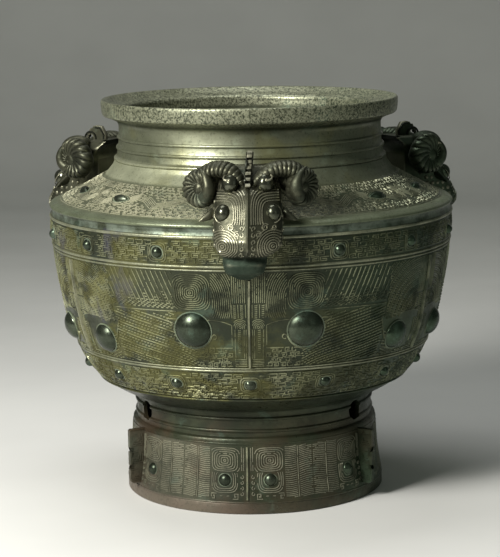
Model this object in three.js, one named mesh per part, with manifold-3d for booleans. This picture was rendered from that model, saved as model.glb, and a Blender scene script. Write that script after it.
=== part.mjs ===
// Bronze zun: a wide ritual wine vessel with a high foot ring and a ram's head
// on each third of its shoulder. Millimetres, +Z up, standing on Z = 0.
// The front ram's head faces -Y.
import * as THREE from 'three';
import { mergeVertices } from 'three/addons/utils/BufferGeometryUtils.js';
import Module from 'manifold-3d';

const wasm = await Module();
wasm.setup();

// Overall sizes
const HEIGHT = 520;
const LIP_RADIUS = 195.7;
const NECK_RADIUS = 173;
const SHOULDER_RADIUS = 266;
const FOOT_RADIUS = 171;
const WALL = 5;
const FLOOR_TOP = 132;
const AROUND = 30;
const AROUND_INSIDE = 24;

// Raised lines that run round the vessel
const NECK_LINES = [471, 457.5, 443.5];
const FOOT_LINES = [106, 121.5];
const LINE_PROUD = 2.2;
const LINE_WIDTH = 4.6;

// Bosses: the eyes of the masks and of the dragons in the bands
const BURIED = 3;
const MASK_EYES = [
  { azimuths: [-16, 16], height: 254, radius: 23, proud: 9.5 },
  { azimuths: [-12, 12], height: 231, radius: 18.5, proud: 8 },
];
const BAND_BOSSES = [
  { height: 351, radius: 7.2, proud: 5.5, step: 24.8, hidden: true },
  { height: 180.5, radius: 7.2, proud: 5.5, step: 24.4, hidden: false },
];
const BOSSES_AROUND = 15;
const FRONT_BOSSES = 7;
const FOOT_EYE = { offset: 10.1, height: 44, radius: 8, proud: 5 };
const LENS_EYE = { offset: 14, height: 406, length: 27, width: 14, proud: 5.5 };

// Thin ridges on the mould joints, flanges and holes of the foot ring
const JOINTS = [0, 60, 120, 180, 240, 300];
const RIDGE = { low: 205, high: 327, underHead: 318, proud: 3.4, thickness: 3 };
const FOOT_RIDGE = { low: 19, high: 88, proud: 2.6, thickness: 2.6 };
const FLANGE = { low: 20, high: 93, proud: 20, thickness: 6.5, notch: 5 };
const FOOT_HOLE = { height: 115.5, radius: 13 };
const FOOT_TURN = -2.4;

// Ram's heads
const HEAD_GAP = 0.3;
const HEAD_ANGLES = { ram_head_front: 0, ram_head_right: 120, ram_head_left: 240 };
const HEAD_TILT = { ram_head_front: 4, ram_head_right: 0, ram_head_left: 0 };
const HEAD_BACK = 222;
const BROW = { x: 24, z: 433, out: 271, halfWidth: 10, halfHeight: 12, proud: 8 };
const EYE = { x: 30, z: 404, out: 290, halfWidth: 10, halfHeight: 12, proud: 8 };
const CURL = { x: 62, out: 241, z: 432, halfWidth: 21, radius: 26.5, ribs: 8, groove: 3 };
const CREST_THICKNESS = 6;

const DEG = Math.PI / 180;

// Small helpers for solids

function solid(geometry) {
  const bare = geometry.index ? geometry.toNonIndexed() : geometry;
  bare.deleteAttribute('normal');
  bare.deleteAttribute('uv');
  const merged = mergeVertices(bare, 1e-4);
  const mesh = new wasm.Mesh({
    numProp: 3,
    vertProperties: new Float32Array(merged.attributes.position.array),
    triVerts: new Uint32Array(merged.index.array),
  });
  return new wasm.Manifold(mesh);
}

function geometryOf(manifold) {
  const mesh = manifold.getMesh();
  const geometry = new THREE.BufferGeometry();
  geometry.setAttribute('position', new THREE.BufferAttribute(mesh.vertProperties, 3));
  geometry.setIndex(new THREE.BufferAttribute(mesh.triVerts, 1));
  geometry.computeVertexNormals();
  return geometry;
}

function union(parts) {
  return parts.reduce((whole, part) => whole.add(part));
}

// A closed skin over rings of points, each ring with the same count
function loft(rings) {
  const count = rings[0].length;
  const positions = [];
  const indices = [];
  rings.forEach((ring) => ring.forEach((p) => positions.push(p.x, p.y, p.z)));
  for (let row = 0; row + 1 < rings.length; row += 1) {
    for (let k = 0; k < count; k += 1) {
      const a = row * count + k;
      const b = row * count + ((k + 1) % count);
      indices.push(a, b, b + count, a, b + count, a + count);
    }
  }
  const last = (rings.length - 1) * count;
  for (let k = 1; k + 1 < count; k += 1) {
    indices.push(0, k + 1, k);
    indices.push(last, last + k, last + k + 1);
  }
  const geometry = new THREE.BufferGeometry();
  geometry.setAttribute('position', new THREE.Float32BufferAttribute(positions, 3));
  geometry.setIndex(indices);
  return geometry;
}

// A tapering round bar along a smooth path
function taper(points, radii, sides, steps) {
  const curve = new THREE.CatmullRomCurve3(points.map((p) => new THREE.Vector3(...p)));
  const frames = curve.computeFrenetFrames(steps, false);
  const rings = [];
  for (let i = 0; i <= steps; i += 1) {
    const t = i / steps;
    const at = t * (radii.length - 1);
    const low = Math.min(Math.floor(at), radii.length - 2);
    const radius = THREE.MathUtils.lerp(radii[low], radii[low + 1], at - low);
    const centre = curve.getPoint(t);
    const ring = [];
    for (let k = 0; k < sides; k += 1) {
      const angle = (k / sides) * 2 * Math.PI;
      const across = frames.normals[i].clone().multiplyScalar(Math.cos(angle) * radius);
      const along = frames.binormals[i].clone().multiplyScalar(Math.sin(angle) * radius);
      ring.push(centre.clone().add(across).add(along));
    }
    rings.push(ring);
  }
  return loft(rings);
}

// The vessel's outer wall

// A thin raised line at one height, on a wall of the given radius
function raisedLine(radius, height) {
  return [
    [radius, height - LINE_WIDTH / 2],
    [radius + LINE_PROUD, height],
    [radius, height + LINE_WIDTH / 2],
  ];
}

function sampled(controls, pieces) {
  const curve = new THREE.SplineCurve(controls.map(([r, z]) => new THREE.Vector2(r, z)));
  return curve.getPoints(pieces).map((p) => [p.x, p.y]);
}

const FOOT_SIDE = [[FOOT_RADIUS, 0], [170.5, 20], [164.8, 50], [162.5, 96.5]];
const FOOT_NECK = [[157, 100], ...FOOT_LINES.flatMap((z) => raisedLine(157, z)), [160, 132]];
const BOWL_BASE = [[179, 140.5], [204, 156], [223, 180]];
const BELLY = sampled([[234, 203], [245.5, 232], [254, 272], [260, 308], [262, 329]], 3);
const BAND = [[265, 333], [263, 337.5], [267, 371.5], [263.5, 377]];
const RIM = [[SHOULDER_RADIUS, 384.5]];
const SHOULDER = [[254, 389.5], [193, 422]];
const NECK = [
  [184, 433],
  ...raisedLine(177.5, NECK_LINES[2]),
  ...raisedLine(174.5, NECK_LINES[1]),
  ...raisedLine(NECK_RADIUS, NECK_LINES[0]),
  [NECK_RADIUS, 487],
];
const LIP = [[175, 492], [193, 500], [LIP_RADIUS, HEIGHT - 3], [194, HEIGHT]];
const OUTSIDE = [
  ...FOOT_SIDE, ...FOOT_NECK, ...BOWL_BASE, ...BELLY, ...BAND, ...RIM, ...SHOULDER,
  ...NECK, ...LIP,
];

// The hollow of the bowl, from its floor up to the mouth, and the foot's hollow
const BOWL_INSIDE = [
  [70, FLOOR_TOP], [152, 139], [200, 161.5], [229, 205], [247, 262],
  [257, 320], [259, 375], [250, 385.7], [191, 417.5],
];
const MOUTH = [[NECK_RADIUS - WALL, 442], [NECK_RADIUS - WALL, 496], [169, 508], [194, 520], [194, 523]];
const FOOT_INSIDE = [[165.5, -BURIED], [158, 90], [152, 100], [152, 122], [146, 130]];

// Radius of the plain outer wall at a height, and the slope of its normal
function wallAt(height) {
  for (let i = 0; i + 1 < OUTSIDE.length; i += 1) {
    const [r0, z0] = OUTSIDE[i];
    const [r1, z1] = OUTSIDE[i + 1];
    if (height >= z0 && height <= z1) {
      const t = (height - z0) / (z1 - z0);
      const run = new THREE.Vector2(r1 - r0, z1 - z0).normalize();
      return { radius: r0 + t * (r1 - r0), out: run.y, up: -run.x };
    }
  }
  throw new Error(`no wall at height ${height}`);
}

// A solid of revolution, from a closed profile that starts and ends on the axis
function lathe(profile, segments) {
  const points = profile.map(([r, z]) => new THREE.Vector2(r, z));
  return solid(new THREE.LatheGeometry(points, segments).rotateX(Math.PI / 2));
}

// Turns a solid made at the front (-Y) to its azimuth
function turned(manifold, azimuth) {
  return manifold.rotate([0, 0, azimuth]);
}

// Bosses

// A dome that lies on the XY plane, with its root buried below it
function dome(halfLength, halfWidth, proud, sides, rows, pointed = 0) {
  const rings = [];
  const outline = (scale, z) => {
    const ring = [];
    for (let k = 0; k < sides; k += 1) {
      const angle = (k / sides) * 2 * Math.PI;
      const pinch = 1 - pointed * Math.abs(Math.cos(angle));
      ring.push(new THREE.Vector3(
        halfLength * scale * Math.cos(angle),
        halfWidth * scale * Math.sin(angle) * pinch,
        z,
      ));
    }
    return ring;
  };
  rings.push(outline(1, -BURIED));
  for (let row = 0; row <= rows; row += 1) {
    const lift = (row / rows) * 62 * DEG;
    rings.push(outline(Math.cos(lift), proud * Math.sin(lift) / Math.sin(62 * DEG)));
  }
  return loft(rings);
}

// Sets a dome on the wall at a height, its X axis running round the vessel
function onWall(geometry, azimuth, height) {
  const wall = wallAt(height);
  const tilt = Math.atan2(wall.out, wall.up);
  geometry.rotateX(tilt);
  geometry.translate(0, -wall.radius, height);
  geometry.rotateZ(azimuth * DEG);
  return solid(geometry);
}

// The seven bosses in front keep the measured step and the rest share what is left
function bossAzimuths(step) {
  const side = (FRONT_BOSSES - 1) / 2;
  const others = BOSSES_AROUND - FRONT_BOSSES;
  const gap = (360 - 2 * side * step) / (others + 1);
  const azimuths = [];
  for (let k = -side; k <= side; k += 1) azimuths.push(k * step);
  for (let k = 1; k <= others; k += 1) azimuths.push(side * step + k * gap);
  return azimuths;
}

function underHead(azimuth) {
  return Object.values(HEAD_ANGLES).some((head) => {
    const away = Math.abs(((azimuth - head + 540) % 360) - 180);
    return away < 6;
  });
}

function bosses() {
  const found = [];
  JOINTS.forEach((joint, index) => {
    const eye = MASK_EYES[index % 2];
    eye.azimuths.forEach((offset) => {
      found.push(onWall(dome(eye.radius, eye.radius, eye.proud, 8, 2), joint + offset, eye.height));
    });
    const offset = FOOT_EYE.offset;
    [-offset, offset].forEach((side) => {
      const shape = dome(FOOT_EYE.radius, FOOT_EYE.radius, FOOT_EYE.proud, 5, 1);
      found.push(onWall(shape, joint + FOOT_TURN + side, FOOT_EYE.height));
    });
  });
  BAND_BOSSES.forEach((band) => {
    bossAzimuths(band.step).filter((a) => !(band.hidden && underHead(a))).forEach((a) => {
      found.push(onWall(dome(band.radius, band.radius, band.proud, 5, 1), a, band.height));
    });
  });
  [60, 180, 300].forEach((middle) => {
    [-LENS_EYE.offset, LENS_EYE.offset].forEach((side) => {
      const shape = dome(LENS_EYE.length / 2, LENS_EYE.width / 2, LENS_EYE.proud, 8, 1, 0.35);
      found.push(onWall(shape, middle + side, LENS_EYE.height));
    });
  });
  return found;
}

// Ridges and flanges: an outline in the plane of the axis, given thickness

function upright(outline, thickness, azimuth) {
  const shape = new THREE.Shape(outline.map(([r, z]) => new THREE.Vector2(r, z)));
  const plate = new THREE.ExtrudeGeometry(shape, { depth: thickness, bevelEnabled: false });
  plate.translate(0, 0, -thickness / 2);
  plate.rotateX(Math.PI / 2);
  plate.rotateZ(-Math.PI / 2 + azimuth * DEG);
  return solid(plate);
}

// Follows the wall between two heights, standing proud of it
function ridgeOutline(low, high, proud) {
  const between = OUTSIDE.filter(([, z]) => z > low + 1 && z < high - 1).map(([, z]) => z);
  const heights = [low, ...between, high];
  const front = heights.map((z) => [wallAt(z).radius + proud, z]);
  const back = heights.map((z) => [wallAt(z).radius - BURIED, z]);
  return [...front, ...back.reverse()];
}

function flangeOutline() {
  const root = wallAt(FLANGE.low).radius - BURIED - 6;
  const reach = wallAt(60).radius + FLANGE.proud;
  const notchAt = (z) => [
    [reach, z - 3], [reach - FLANGE.notch, z - 3], [reach - FLANGE.notch, z + 3], [reach, z + 3],
  ];
  return [
    [root, FLANGE.low], [reach - 4, FLANGE.low], [reach, FLANGE.low + 8],
    ...notchAt(42), ...notchAt(66), [reach, FLANGE.high], [root, FLANGE.high],
  ];
}

function vessel() {
  const body = lathe([[0, 0], ...OUTSIDE, [0, HEIGHT]], AROUND);
  const above = HEIGHT + BURIED;
  const bowl = lathe([[0, FLOOR_TOP], ...BOWL_INSIDE, ...MOUTH, [0, above]], AROUND_INSIDE);
  const foot = lathe([[0, -BURIED], ...FOOT_INSIDE, [0, FLOOR_TOP - WALL]], AROUND_INSIDE);
  const added = bosses();
  JOINTS.forEach((joint, index) => {
    const ram = index % 2 === 0;
    const top = ram ? RIDGE.underHead : RIDGE.high;
    added.push(upright(ridgeOutline(RIDGE.low, top, RIDGE.proud), RIDGE.thickness, joint));
    if (ram) {
      const thin = ridgeOutline(FOOT_RIDGE.low, FOOT_RIDGE.high, FOOT_RIDGE.proud);
      added.push(upright(thin, FOOT_RIDGE.thickness, joint + FOOT_TURN));
    } else {
      added.push(upright(flangeOutline(), FLANGE.thickness, joint + FOOT_TURN));
    }
  });
  const holes = [60, 180, 300].map((azimuth) => {
    const bar = new THREE.CylinderGeometry(FOOT_HOLE.radius, FOOT_HOLE.radius, 40, 14);
    bar.translate(0, -157, 0);
    bar.rotateZ((azimuth + FOOT_TURN) * DEG);
    bar.translate(0, 0, FOOT_HOLE.height);
    return solid(bar);
  });
  return union([body, ...added]).subtract(union([bowl, foot, ...holes]));
}

// The filled outline of the vessel, a little larger, that a head is fitted to
function fitting() {
  const touched = OUTSIDE.filter(([, z]) => z > 240 && z < 430);
  const outline = touched.map(([r, z]) => [r + HEAD_GAP, z + HEAD_GAP]);
  const narrow = NECK_RADIUS + 8;
  return lathe([[0, outline[0][1]], ...outline, [narrow, 430], [0, HEIGHT]], AROUND);
}

// Ram's head, made facing -Y: x across, "out" is the distance from the axis

// Height, reach of the middle, half width, and how far the edge falls back
const SKULL = [
  [326, 288, 16, 7], [331, 302, 23, 9], [343, 309, 27, 7], [350, 303, 26, 5],
  [354, 315, 30, 11], [363, 323, 36, 13], [373, 323, 38, 13],
  [413, 295, 42, 11], [433, 281, 41, 11], [450, 258, 24, 8],
];

function skull() {
  const rings = SKULL.map(([z, reach, half, fall]) => {
    const side = [
      [0, reach], [0.72 * half, reach - 0.72 * fall],
      [half, reach - fall - 6], [half, reach - fall - 26], [0.8 * half, HEAD_BACK],
    ];
    const right = side.map(([x, out]) => new THREE.Vector3(x, -out, z));
    const left = side.slice(1).map(([x, out]) => new THREE.Vector3(-x, -out, z)).reverse();
    return [...right, ...left];
  });
  return solid(loft(rings));
}

// The shell-like curl of a horn: a ribbed round about an axis across the head
function curl(side) {
  const rows = 3;
  const count = CURL.ribs * 2;
  const rings = [];
  for (let row = 0; row <= rows; row += 1) {
    const lift = (row / rows - 0.5) * 166 * DEG;
    const ring = [];
    for (let k = 0; k < count; k += 1) {
      const angle = (k / count) * 2 * Math.PI;
      const groove = k % 2 === 0 ? 0 : CURL.groove;
      const radius = (CURL.radius - groove) * Math.cos(lift);
      ring.push(new THREE.Vector3(
        side * CURL.x + CURL.halfWidth * Math.sin(lift),
        -CURL.out - radius * Math.cos(angle),
        CURL.z - radius * Math.sin(angle),
      ));
    }
    rings.push(ring);
  }
  return solid(loft(rings));
}

function horn(side) {
  const arch = taper(
    [[10, -264, 436], [16, -262, 449], [34, -254, 454], [52, -244, 448], [62, -238, 434]]
      .map(([x, y, z]) => [side * x, y, z]),
    [9, 11, 11.5, 11, 9],
    6,
    4,
  );
  const tip = taper(
    [[60, -256, 412], [43, -266, 424], [45, -268, 441], [56, -266, 452], [67, -262, 458]]
      .map(([x, y, z]) => [side * x, y, z]),
    [7, 9, 7.5, 4.5, 1],
    4,
    4,
  );
  return union([curl(side), solid(arch), solid(tip)]);
}

// A dome set on the face, leaning back with it
function faceBoss(x, out, z, halfWidth, halfHeight, proud, sides) {
  const shape = dome(halfWidth, halfHeight, proud, sides, 1);
  shape.rotateX(90 * DEG - 34 * DEG);
  shape.translate(x, -out, z);
  return solid(shape);
}

function ear(side) {
  const shape = taper(
    [[38, -270, 402], [50, -274, 399], [60, -276, 394]].map(([x, y, z]) => [side * x, y, z]),
    [6.5, 5.5, 1],
    5,
    3,
  );
  return solid(shape);
}

// The notched crest, from the forehead up towards the neck
function crest() {
  const notches = 3;
  const front = [];
  for (let k = 0; k < notches; k += 1) {
    const low = k / notches;
    const mid = (k + 0.5) / notches;
    const top = (k + 1) / notches;
    [[low, 0], [mid, 0], [mid, -3.5], [top, -3.5]].forEach(([t, back]) => {
      front.push([282 - 28 * t ** 0.8 + back, 434 + 39 * t]);
    });
  }
  return upright([[234, 428], ...front, [236, 474], [229, 462]], CREST_THICKNESS, 0);
}

function ramHead() {
  const pieces = [skull(), crest()];
  [-1, 1].forEach((side) => {
    pieces.push(horn(side));
    pieces.push(ear(side));
    [[EYE, 8], [BROW, 6]].forEach(([at, sides]) => {
      pieces.push(faceBoss(side * at.x, at.out, at.z, at.halfWidth, at.halfHeight, at.proud, sides));
    });
  });
  return union(pieces);
}

// Materials and the finished group

function bronze(color) {
  return new THREE.MeshStandardMaterial({ color, roughness: 0.42, metalness: 0.85 });
}

function named(name, manifold, color) {
  const mesh = new THREE.Mesh(geometryOf(manifold), bronze(color));
  mesh.name = name;
  return mesh;
}

const zun = new THREE.Group();
zun.add(named('vessel', vessel(), 0x5b5a42));

const seat = fitting();
const pivot = [0, 0, 400];
Object.entries(HEAD_ANGLES).forEach(([name, azimuth]) => {
  const tilted = ramHead()
    .translate([0, 0, -pivot[2]])
    .rotate([0, HEAD_TILT[name], 0])
    .translate(pivot);
  zun.add(named(name, turned(tilted, azimuth).subtract(seat), 0x4a4a38));
});

// The origin is under the middle of the whole bounding box
const box = new THREE.Box3().setFromObject(zun);
zun.position.y = -(box.min.y + box.max.y) / 2;
zun.updateMatrixWorld(true);

export default zun;
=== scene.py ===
# Bronze zun with three ram's heads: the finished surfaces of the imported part.
# Shapes are worked out in millimetres about the vessel's own axis, and turned
# into metres in the frame where each mesh is made.
import math

import bpy
import numpy as np
from mathutils import Matrix, Vector


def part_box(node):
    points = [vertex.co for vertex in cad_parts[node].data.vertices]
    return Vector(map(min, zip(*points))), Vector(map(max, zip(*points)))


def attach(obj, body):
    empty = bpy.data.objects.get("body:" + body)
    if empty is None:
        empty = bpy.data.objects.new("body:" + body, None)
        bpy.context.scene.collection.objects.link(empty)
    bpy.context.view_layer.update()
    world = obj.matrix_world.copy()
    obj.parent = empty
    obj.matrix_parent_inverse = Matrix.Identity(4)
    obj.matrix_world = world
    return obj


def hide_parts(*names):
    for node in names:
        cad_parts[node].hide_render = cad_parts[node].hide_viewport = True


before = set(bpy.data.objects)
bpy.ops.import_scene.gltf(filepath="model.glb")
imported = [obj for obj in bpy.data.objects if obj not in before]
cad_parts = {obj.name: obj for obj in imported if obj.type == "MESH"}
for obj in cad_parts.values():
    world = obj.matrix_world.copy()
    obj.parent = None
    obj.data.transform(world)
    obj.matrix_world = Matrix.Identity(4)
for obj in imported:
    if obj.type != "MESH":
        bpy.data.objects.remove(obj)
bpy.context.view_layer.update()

MM = 0.001
TAU = 2 * math.pi
vessel_low, vessel_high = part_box("vessel")
AXIS_Y = (vessel_low.y + vessel_high.y) / 2

# Places of the main things, in millimetres and degrees, as in the solids
FOOT_TURN = -2.4
JOINTS = (0, 60, 120, 180, 240, 300)
GAPS_BETWEEN_HEADS = JOINTS[1::2]
HEAD_ANGLES = {"ram_head_front": 0, "ram_head_right": 120, "ram_head_left": 240}
HEAD_SWAY = {"ram_head_front": 1, "ram_head_right": 0, "ram_head_left": 0}
RAM_EYES = {"azimuth": 16, "height": 254, "radius": 23, "proud": 12}
SIDE_EYES = {"azimuth": 12, "height": 231, "radius": 18.5, "proud": 10}
BOSS_RADIUS = 7.2
BOSS_PROUD = 6.2
UPPER_BOSSES = {"height": 351, "step": 24.8}
LOWER_BOSSES = {"height": 180.5, "step": 24.4}
BOSSES_AROUND = 15
FRONT_BOSSES = 7
SQUARED_EVERY = 3
RIM_EDGE = 1.3
CHIN_CLEARANCE = 6
FOOT_EYE = {"azimuth": 10.1, "height": 44, "radius": 8, "proud": 5}
LENS_EYE = {"azimuth": 14, "height": 406, "length": 27, "width": 14, "proud": 5.5}
FOOT_HOLE = {"height": 115.5, "radius": 13, "reach": (145, 168)}
FLANGE = {"low": 20, "high": 93, "proud": 20, "thickness": 6.5, "notch": 5}
RIDGE_TOPS = (318, 327)
BODY_COLUMNS = 288
BODY_WANDER = 0.28

# The thin-line relief
PITCH = 2.5
LINE = {"base": 0.66, "top": 0.36, "proud": 1.0, "root": 0.25}
BELLY_RADIUS = 260.0
BAND_RADIUS = 265.0
LOWER_RADIUS = 215.0
SHOULDER_RADIUS = 225.0
FOOT_RADIUS = 166.0
STRIP_ROWS = 80
STRIP_SMOOTHING = 3
LINE_WANDER = 0.35


# Small mesh helpers

class Skin:
    """Points and faces that can be joined to others before they become a mesh."""

    def __init__(self, points, quads, triangles=()):
        self.points = np.asarray(points, float).reshape(-1, 3)
        self.quads = np.asarray(quads, int)
        self.triangles = np.asarray(triangles, int).reshape(-1, 3)

    def all_triangles(self):
        """The triangles, and the quads as two triangles each."""
        q = self.quads
        return np.vstack([self.triangles, q[:, [0, 1, 2]], q[:, [0, 2, 3]]])

    def faced_out(self):
        """The same skin with its faces pointing out of the closed form."""
        a, b, c = (self.points[self.all_triangles()[:, k]] for k in range(3))
        if np.einsum("ij,ij->i", a, np.cross(b, c)).sum() < 0:
            return Skin(self.points, self.quads[:, ::-1], self.triangles[:, ::-1])
        return self

    def moved(self, change):
        """The same faces on changed points, still facing out."""
        return Skin(change(self.points), self.quads, self.triangles).faced_out()


def joined(skins):
    """Several skins as one."""
    points, quads, triangles, start = [], [], [], 0
    for skin in skins:
        points.append(skin.points)
        quads.append(skin.quads + start)
        triangles.append(skin.triangles + start)
        start += len(skin.points)
    return Skin(np.vstack(points), np.vstack(quads), np.vstack(triangles))


def grid_quads(rows, columns, wrap):
    """Quads over a grid of points, its columns closed into rings if wrap is set."""
    across = np.arange(columns if wrap else columns - 1)
    down = np.arange(rows - 1)
    a = down[:, None] * columns + across[None]
    b = down[:, None] * columns + ((across + 1) % columns)[None]
    return np.stack([a, b, b + columns, a + columns], -1).reshape(-1, 4)


def closed_quads(rows, columns):
    """Quads over rings of points, with the last ring joined to the first."""
    return grid_quads(rows + 1, columns, True) % (rows * columns)


def fan(start, count, centre, reverse=False):
    """Triangles from the ring of points that begins at start to a centre point."""
    here = np.arange(count) + start
    after = np.roll(here, -1)
    pair = (after, here) if reverse else (here, after)
    return np.stack([*pair, np.full(count, centre)], -1)


def tube(stack):
    """A closed skin over rings of points, with a fan at each end."""
    stack = np.asarray(stack, float)
    rows, columns = stack.shape[:2]
    points = np.vstack([stack.reshape(-1, 3), stack[0].mean(0), stack[-1].mean(0)])
    first, last = rows * columns, rows * columns + 1
    ends = [fan(0, columns, first, reverse=True), fan((rows - 1) * columns, columns, last)]
    return Skin(points, grid_quads(rows, columns, True), np.vstack(ends)).faced_out()


def flipped(quads, wanted):
    """The quads, turned over if that is wanted."""
    return quads[:, ::-1] if wanted else quads


def mesh_object(name, skin, material):
    """A skin as a mesh object in the frame."""
    points = skin.points * MM
    points[:, 1] += AXIS_Y
    mesh = bpy.data.meshes.new(name)
    mesh.from_pydata(points.tolist(), [], skin.quads.tolist() + skin.triangles.tolist())
    mesh.materials.append(material)
    made = bpy.data.objects.new(name, mesh)
    bpy.context.scene.collection.objects.link(made)
    return made


def piece(name, skin, material, sharp=38, replaced=()):
    """A smooth mesh object that rides on the body, with edges sharp beyond an angle in degrees."""
    made = mesh_object(name, skin, material)
    made.data.validate()
    made.data.polygons.foreach_set("use_smooth", [True] * len(made.data.polygons))
    made.data.set_sharp_from_angle(angle=math.radians(sharp))
    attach(made, "root")
    if replaced:
        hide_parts(*replaced)
    return made


def full_turn(count):
    """Angles in even steps round a circle."""
    return np.linspace(0, TAU, count, endpoint=False)


def arc(centre, radius, angles):
    """Points at a radius about a centre."""
    return np.stack([centre[0] + radius * np.cos(angles), centre[1] + radius * np.sin(angles)], -1)


def spiral(cx, cy, radius, turns, start, side=1):
    """A line that winds in about a centre, from a start angle."""
    t = np.linspace(0, 1, 9 + int(8 * turns))
    return arc((cx, cy), radius * (1 - 0.72 * t), start + side * turns * TAU * t)


def running_length(line):
    """The distance along a line at each of its points."""
    return np.concatenate([[0], np.cumsum(np.hypot(*np.diff(line, axis=0).T))])


def points_along(line, distances):
    """The points of a line at distances from its start."""
    at = running_length(line)
    return np.stack([np.interp(distances, at, line[:, k]) for k in (0, 1)], -1)


def smooth_line(controls, pieces):
    """Points of a smooth curve through the controls, the ends included."""
    p = np.asarray(controls, float)
    p = np.vstack([2 * p[0] - p[1], p, 2 * p[-1] - p[-2]])
    found = []
    for k in range(1, len(p) - 2):
        t = np.linspace(0, 1, pieces, endpoint=False)[:, None]
        a, b, c, d = p[k - 1:k + 3]
        found.append(0.5 * (
            2 * b + (c - a) * t + (2 * a - 5 * b + 4 * c - d) * t ** 2
            + (3 * b - a - 3 * c + d) * t ** 3
        ))
    return np.vstack([*found, p[-2:-1]])


def waves(a, b, seed, count=7):
    """Smooth wandering between about -1 and 1 over two coordinates."""
    draw = np.random.default_rng(seed)
    total = np.zeros(np.broadcast(a, b).shape)
    for _ in range(count):
        angle, size, phase = draw.uniform(0, TAU), draw.uniform(0.5, 1.6), draw.uniform(0, TAU)
        total = total + np.sin((a * math.cos(angle) + b * math.sin(angle)) * size + phase)
    return total / math.sqrt(count)


# The vessel's wall, as radius and height

def raised_line(radius, height, proud=2.2, width=4.6):
    """A rounded raised line that runs round the vessel."""
    t = np.linspace(0, math.pi, 7)
    return [(radius + proud * math.sin(k), height - width / 2 * math.cos(k)) for k in t]


FOOT_SIDE = smooth_line([(170.6, 17.2), (166.6, 40), (163.9, 65), (162.9, 88)], 5)
BELLY_SIDE = smooth_line([(234.4, 205), (245.5, 232), (254, 272), (260, 308), (262, 328)], 7)
OUTSIDE = [
    (169.6, 0), (171, 1.4), (170.9, 13.5), *raised_line(170.6, 15.4, 0.8, 2.6),
    *FOOT_SIDE, *raised_line(162.8, 90.4, 0.7, 2.6), (162.5, 95.6), (161.4, 97.2), (157.4, 98.4),
    (157, 100.2), *raised_line(157, 106), *raised_line(157, 121.5), (158.2, 129), (160.5, 132.4),
    *smooth_line([(163, 134), (179, 140.5), (202, 154.2)], 4),
    *raised_line(204.6, 156.6, 1.3, 2.8),
    *smooth_line([(206.4, 158.8), (223, 180), (232, 198.4)], 5),
    *raised_line(233, 200.4, 1.5, 2.6), *raised_line(234, 203.6, 0.9, 2.2),
    *BELLY_SIDE, *raised_line(262.2, 330, 1.3, 2.4), (262.6, 332), *raised_line(262.8, 334.6, 1.8, 3.4),
    (263, 337.5), (265.2, 354), (264.4, 367.6), *raised_line(264.4, 370.6, 2.2, 4.6),
    *smooth_line([(264, 374), (263.3, 377), (263.6, 380.4)], 3),
    *smooth_line([(265.2, 381.8), (265.9, 384), (264.6, 386.2), (260, 388.4)], 4),
    (254.4, 390.6), (253.4, 390.4),
    *smooth_line([(252.6, 390.8), (223, 405.8), (194, 421.6)], 5),
    *smooth_line([(192.8, 421.8), (188.4, 426.4), (181.6, 435), (179.2, 441)], 4),
    *raised_line(177.6, 443.5), (175.8, 448.6), *raised_line(174.8, 457.5), (173.6, 462.8),
    *raised_line(173.2, 471), (172.9, 476), (172.9, 485),
    *smooth_line([(173, 487), (175.4, 491.6), (182, 495.6), (192.4, 499.4)], 5),
    *smooth_line([(194, 501.2), (195, 507), (195.6, 514), (195.2, 518.4), (193.8, 519.9)], 4),
]
INSIDE = [
    *smooth_line([(192.4, 519.4), (181, 513), (169.6, 507.4), (168.2, 500)], 5),
    *smooth_line([(168, 496), (168.4, 441), (191, 418), (250, 386), (257.4, 375)], 5),
    *smooth_line([(257.6, 370), (257, 320), (247, 262), (229, 205), (200, 161.5), (152, 139),
                  (70, 132), (0.6, 131.6)], 6),
]
UNDERSIDE = [
    (0.6, 127), (70, 127), (146, 130), (151, 127), (152, 122), (152, 102), (158, 90), (164.4, 1.6),
    (166, 0),
]
wall_points = np.array(OUTSIDE)
WALL_ORDER = np.argsort(wall_points[:, 1], kind="stable")


def wall_radius(height):
    """The radius of the outside at a height."""
    return np.interp(height, wall_points[WALL_ORDER, 1], wall_points[WALL_ORDER, 0])


class Strip:
    """A band of the wall between two heights, measured along its slope from its lower edge."""

    def __init__(self, low, high, radius):
        heights = np.linspace(low, high, STRIP_ROWS)
        spread = 2 * STRIP_SMOOTHING + 1
        padded = np.pad(wall_radius(heights), STRIP_SMOOTHING, "edge")
        radii = np.convolve(padded, np.ones(spread) / spread, "valid")
        self.z, self.r, self.radius = heights, radii, radius
        self.v = running_length(np.column_stack([radii, heights]))
        slope_r, slope_z = np.gradient(radii, self.v), np.gradient(heights, self.v)
        self.out, self.up = slope_z, -slope_r

    @property
    def width(self):
        return self.v[-1]

    def at(self, height):
        """The distance along the slope at a height."""
        return float(np.interp(height, self.z, self.v))

    def placed(self, local, azimuth, mirrored, seed):
        """Points (along, up the slope, proud) on the wall about an azimuth."""
        along, v, proud = local.T
        along = along + LINE_WANDER * waves(along / 17, v / 13, seed)
        side = -1 if mirrored else 1
        angle = np.radians(azimuth) + side * along / self.radius
        r = np.interp(v, self.v, self.r) + proud * np.interp(v, self.v, self.out)
        z = np.interp(v, self.v, self.z) + proud * np.interp(v, self.v, self.up)
        return np.stack([r * np.sin(angle), -r * np.cos(angle), z], -1)


# Lines of equal value, for nested and parallel relief lines

def iso_lines(field, keep, low, high, pitch, span, step=0.9):
    """Polylines where field(u, v) is a whole number of pitches, inside keep(u, v)."""
    u = np.arange(span[0], span[1] + step / 2, step)
    v = np.arange(span[2], span[3] + step / 2, step)
    grid_u, grid_v = np.meshgrid(u, v, indexing="ij")
    values, inside = field(grid_u, grid_v), keep(grid_u, grid_v)
    whole = inside[:-1, :-1] & inside[1:, :-1] & inside[1:, 1:] & inside[:-1, 1:]
    found = []
    for level in np.arange(low, high + pitch / 2, pitch):
        found += level_lines(values - level, whole, u, v)
    return found


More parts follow.
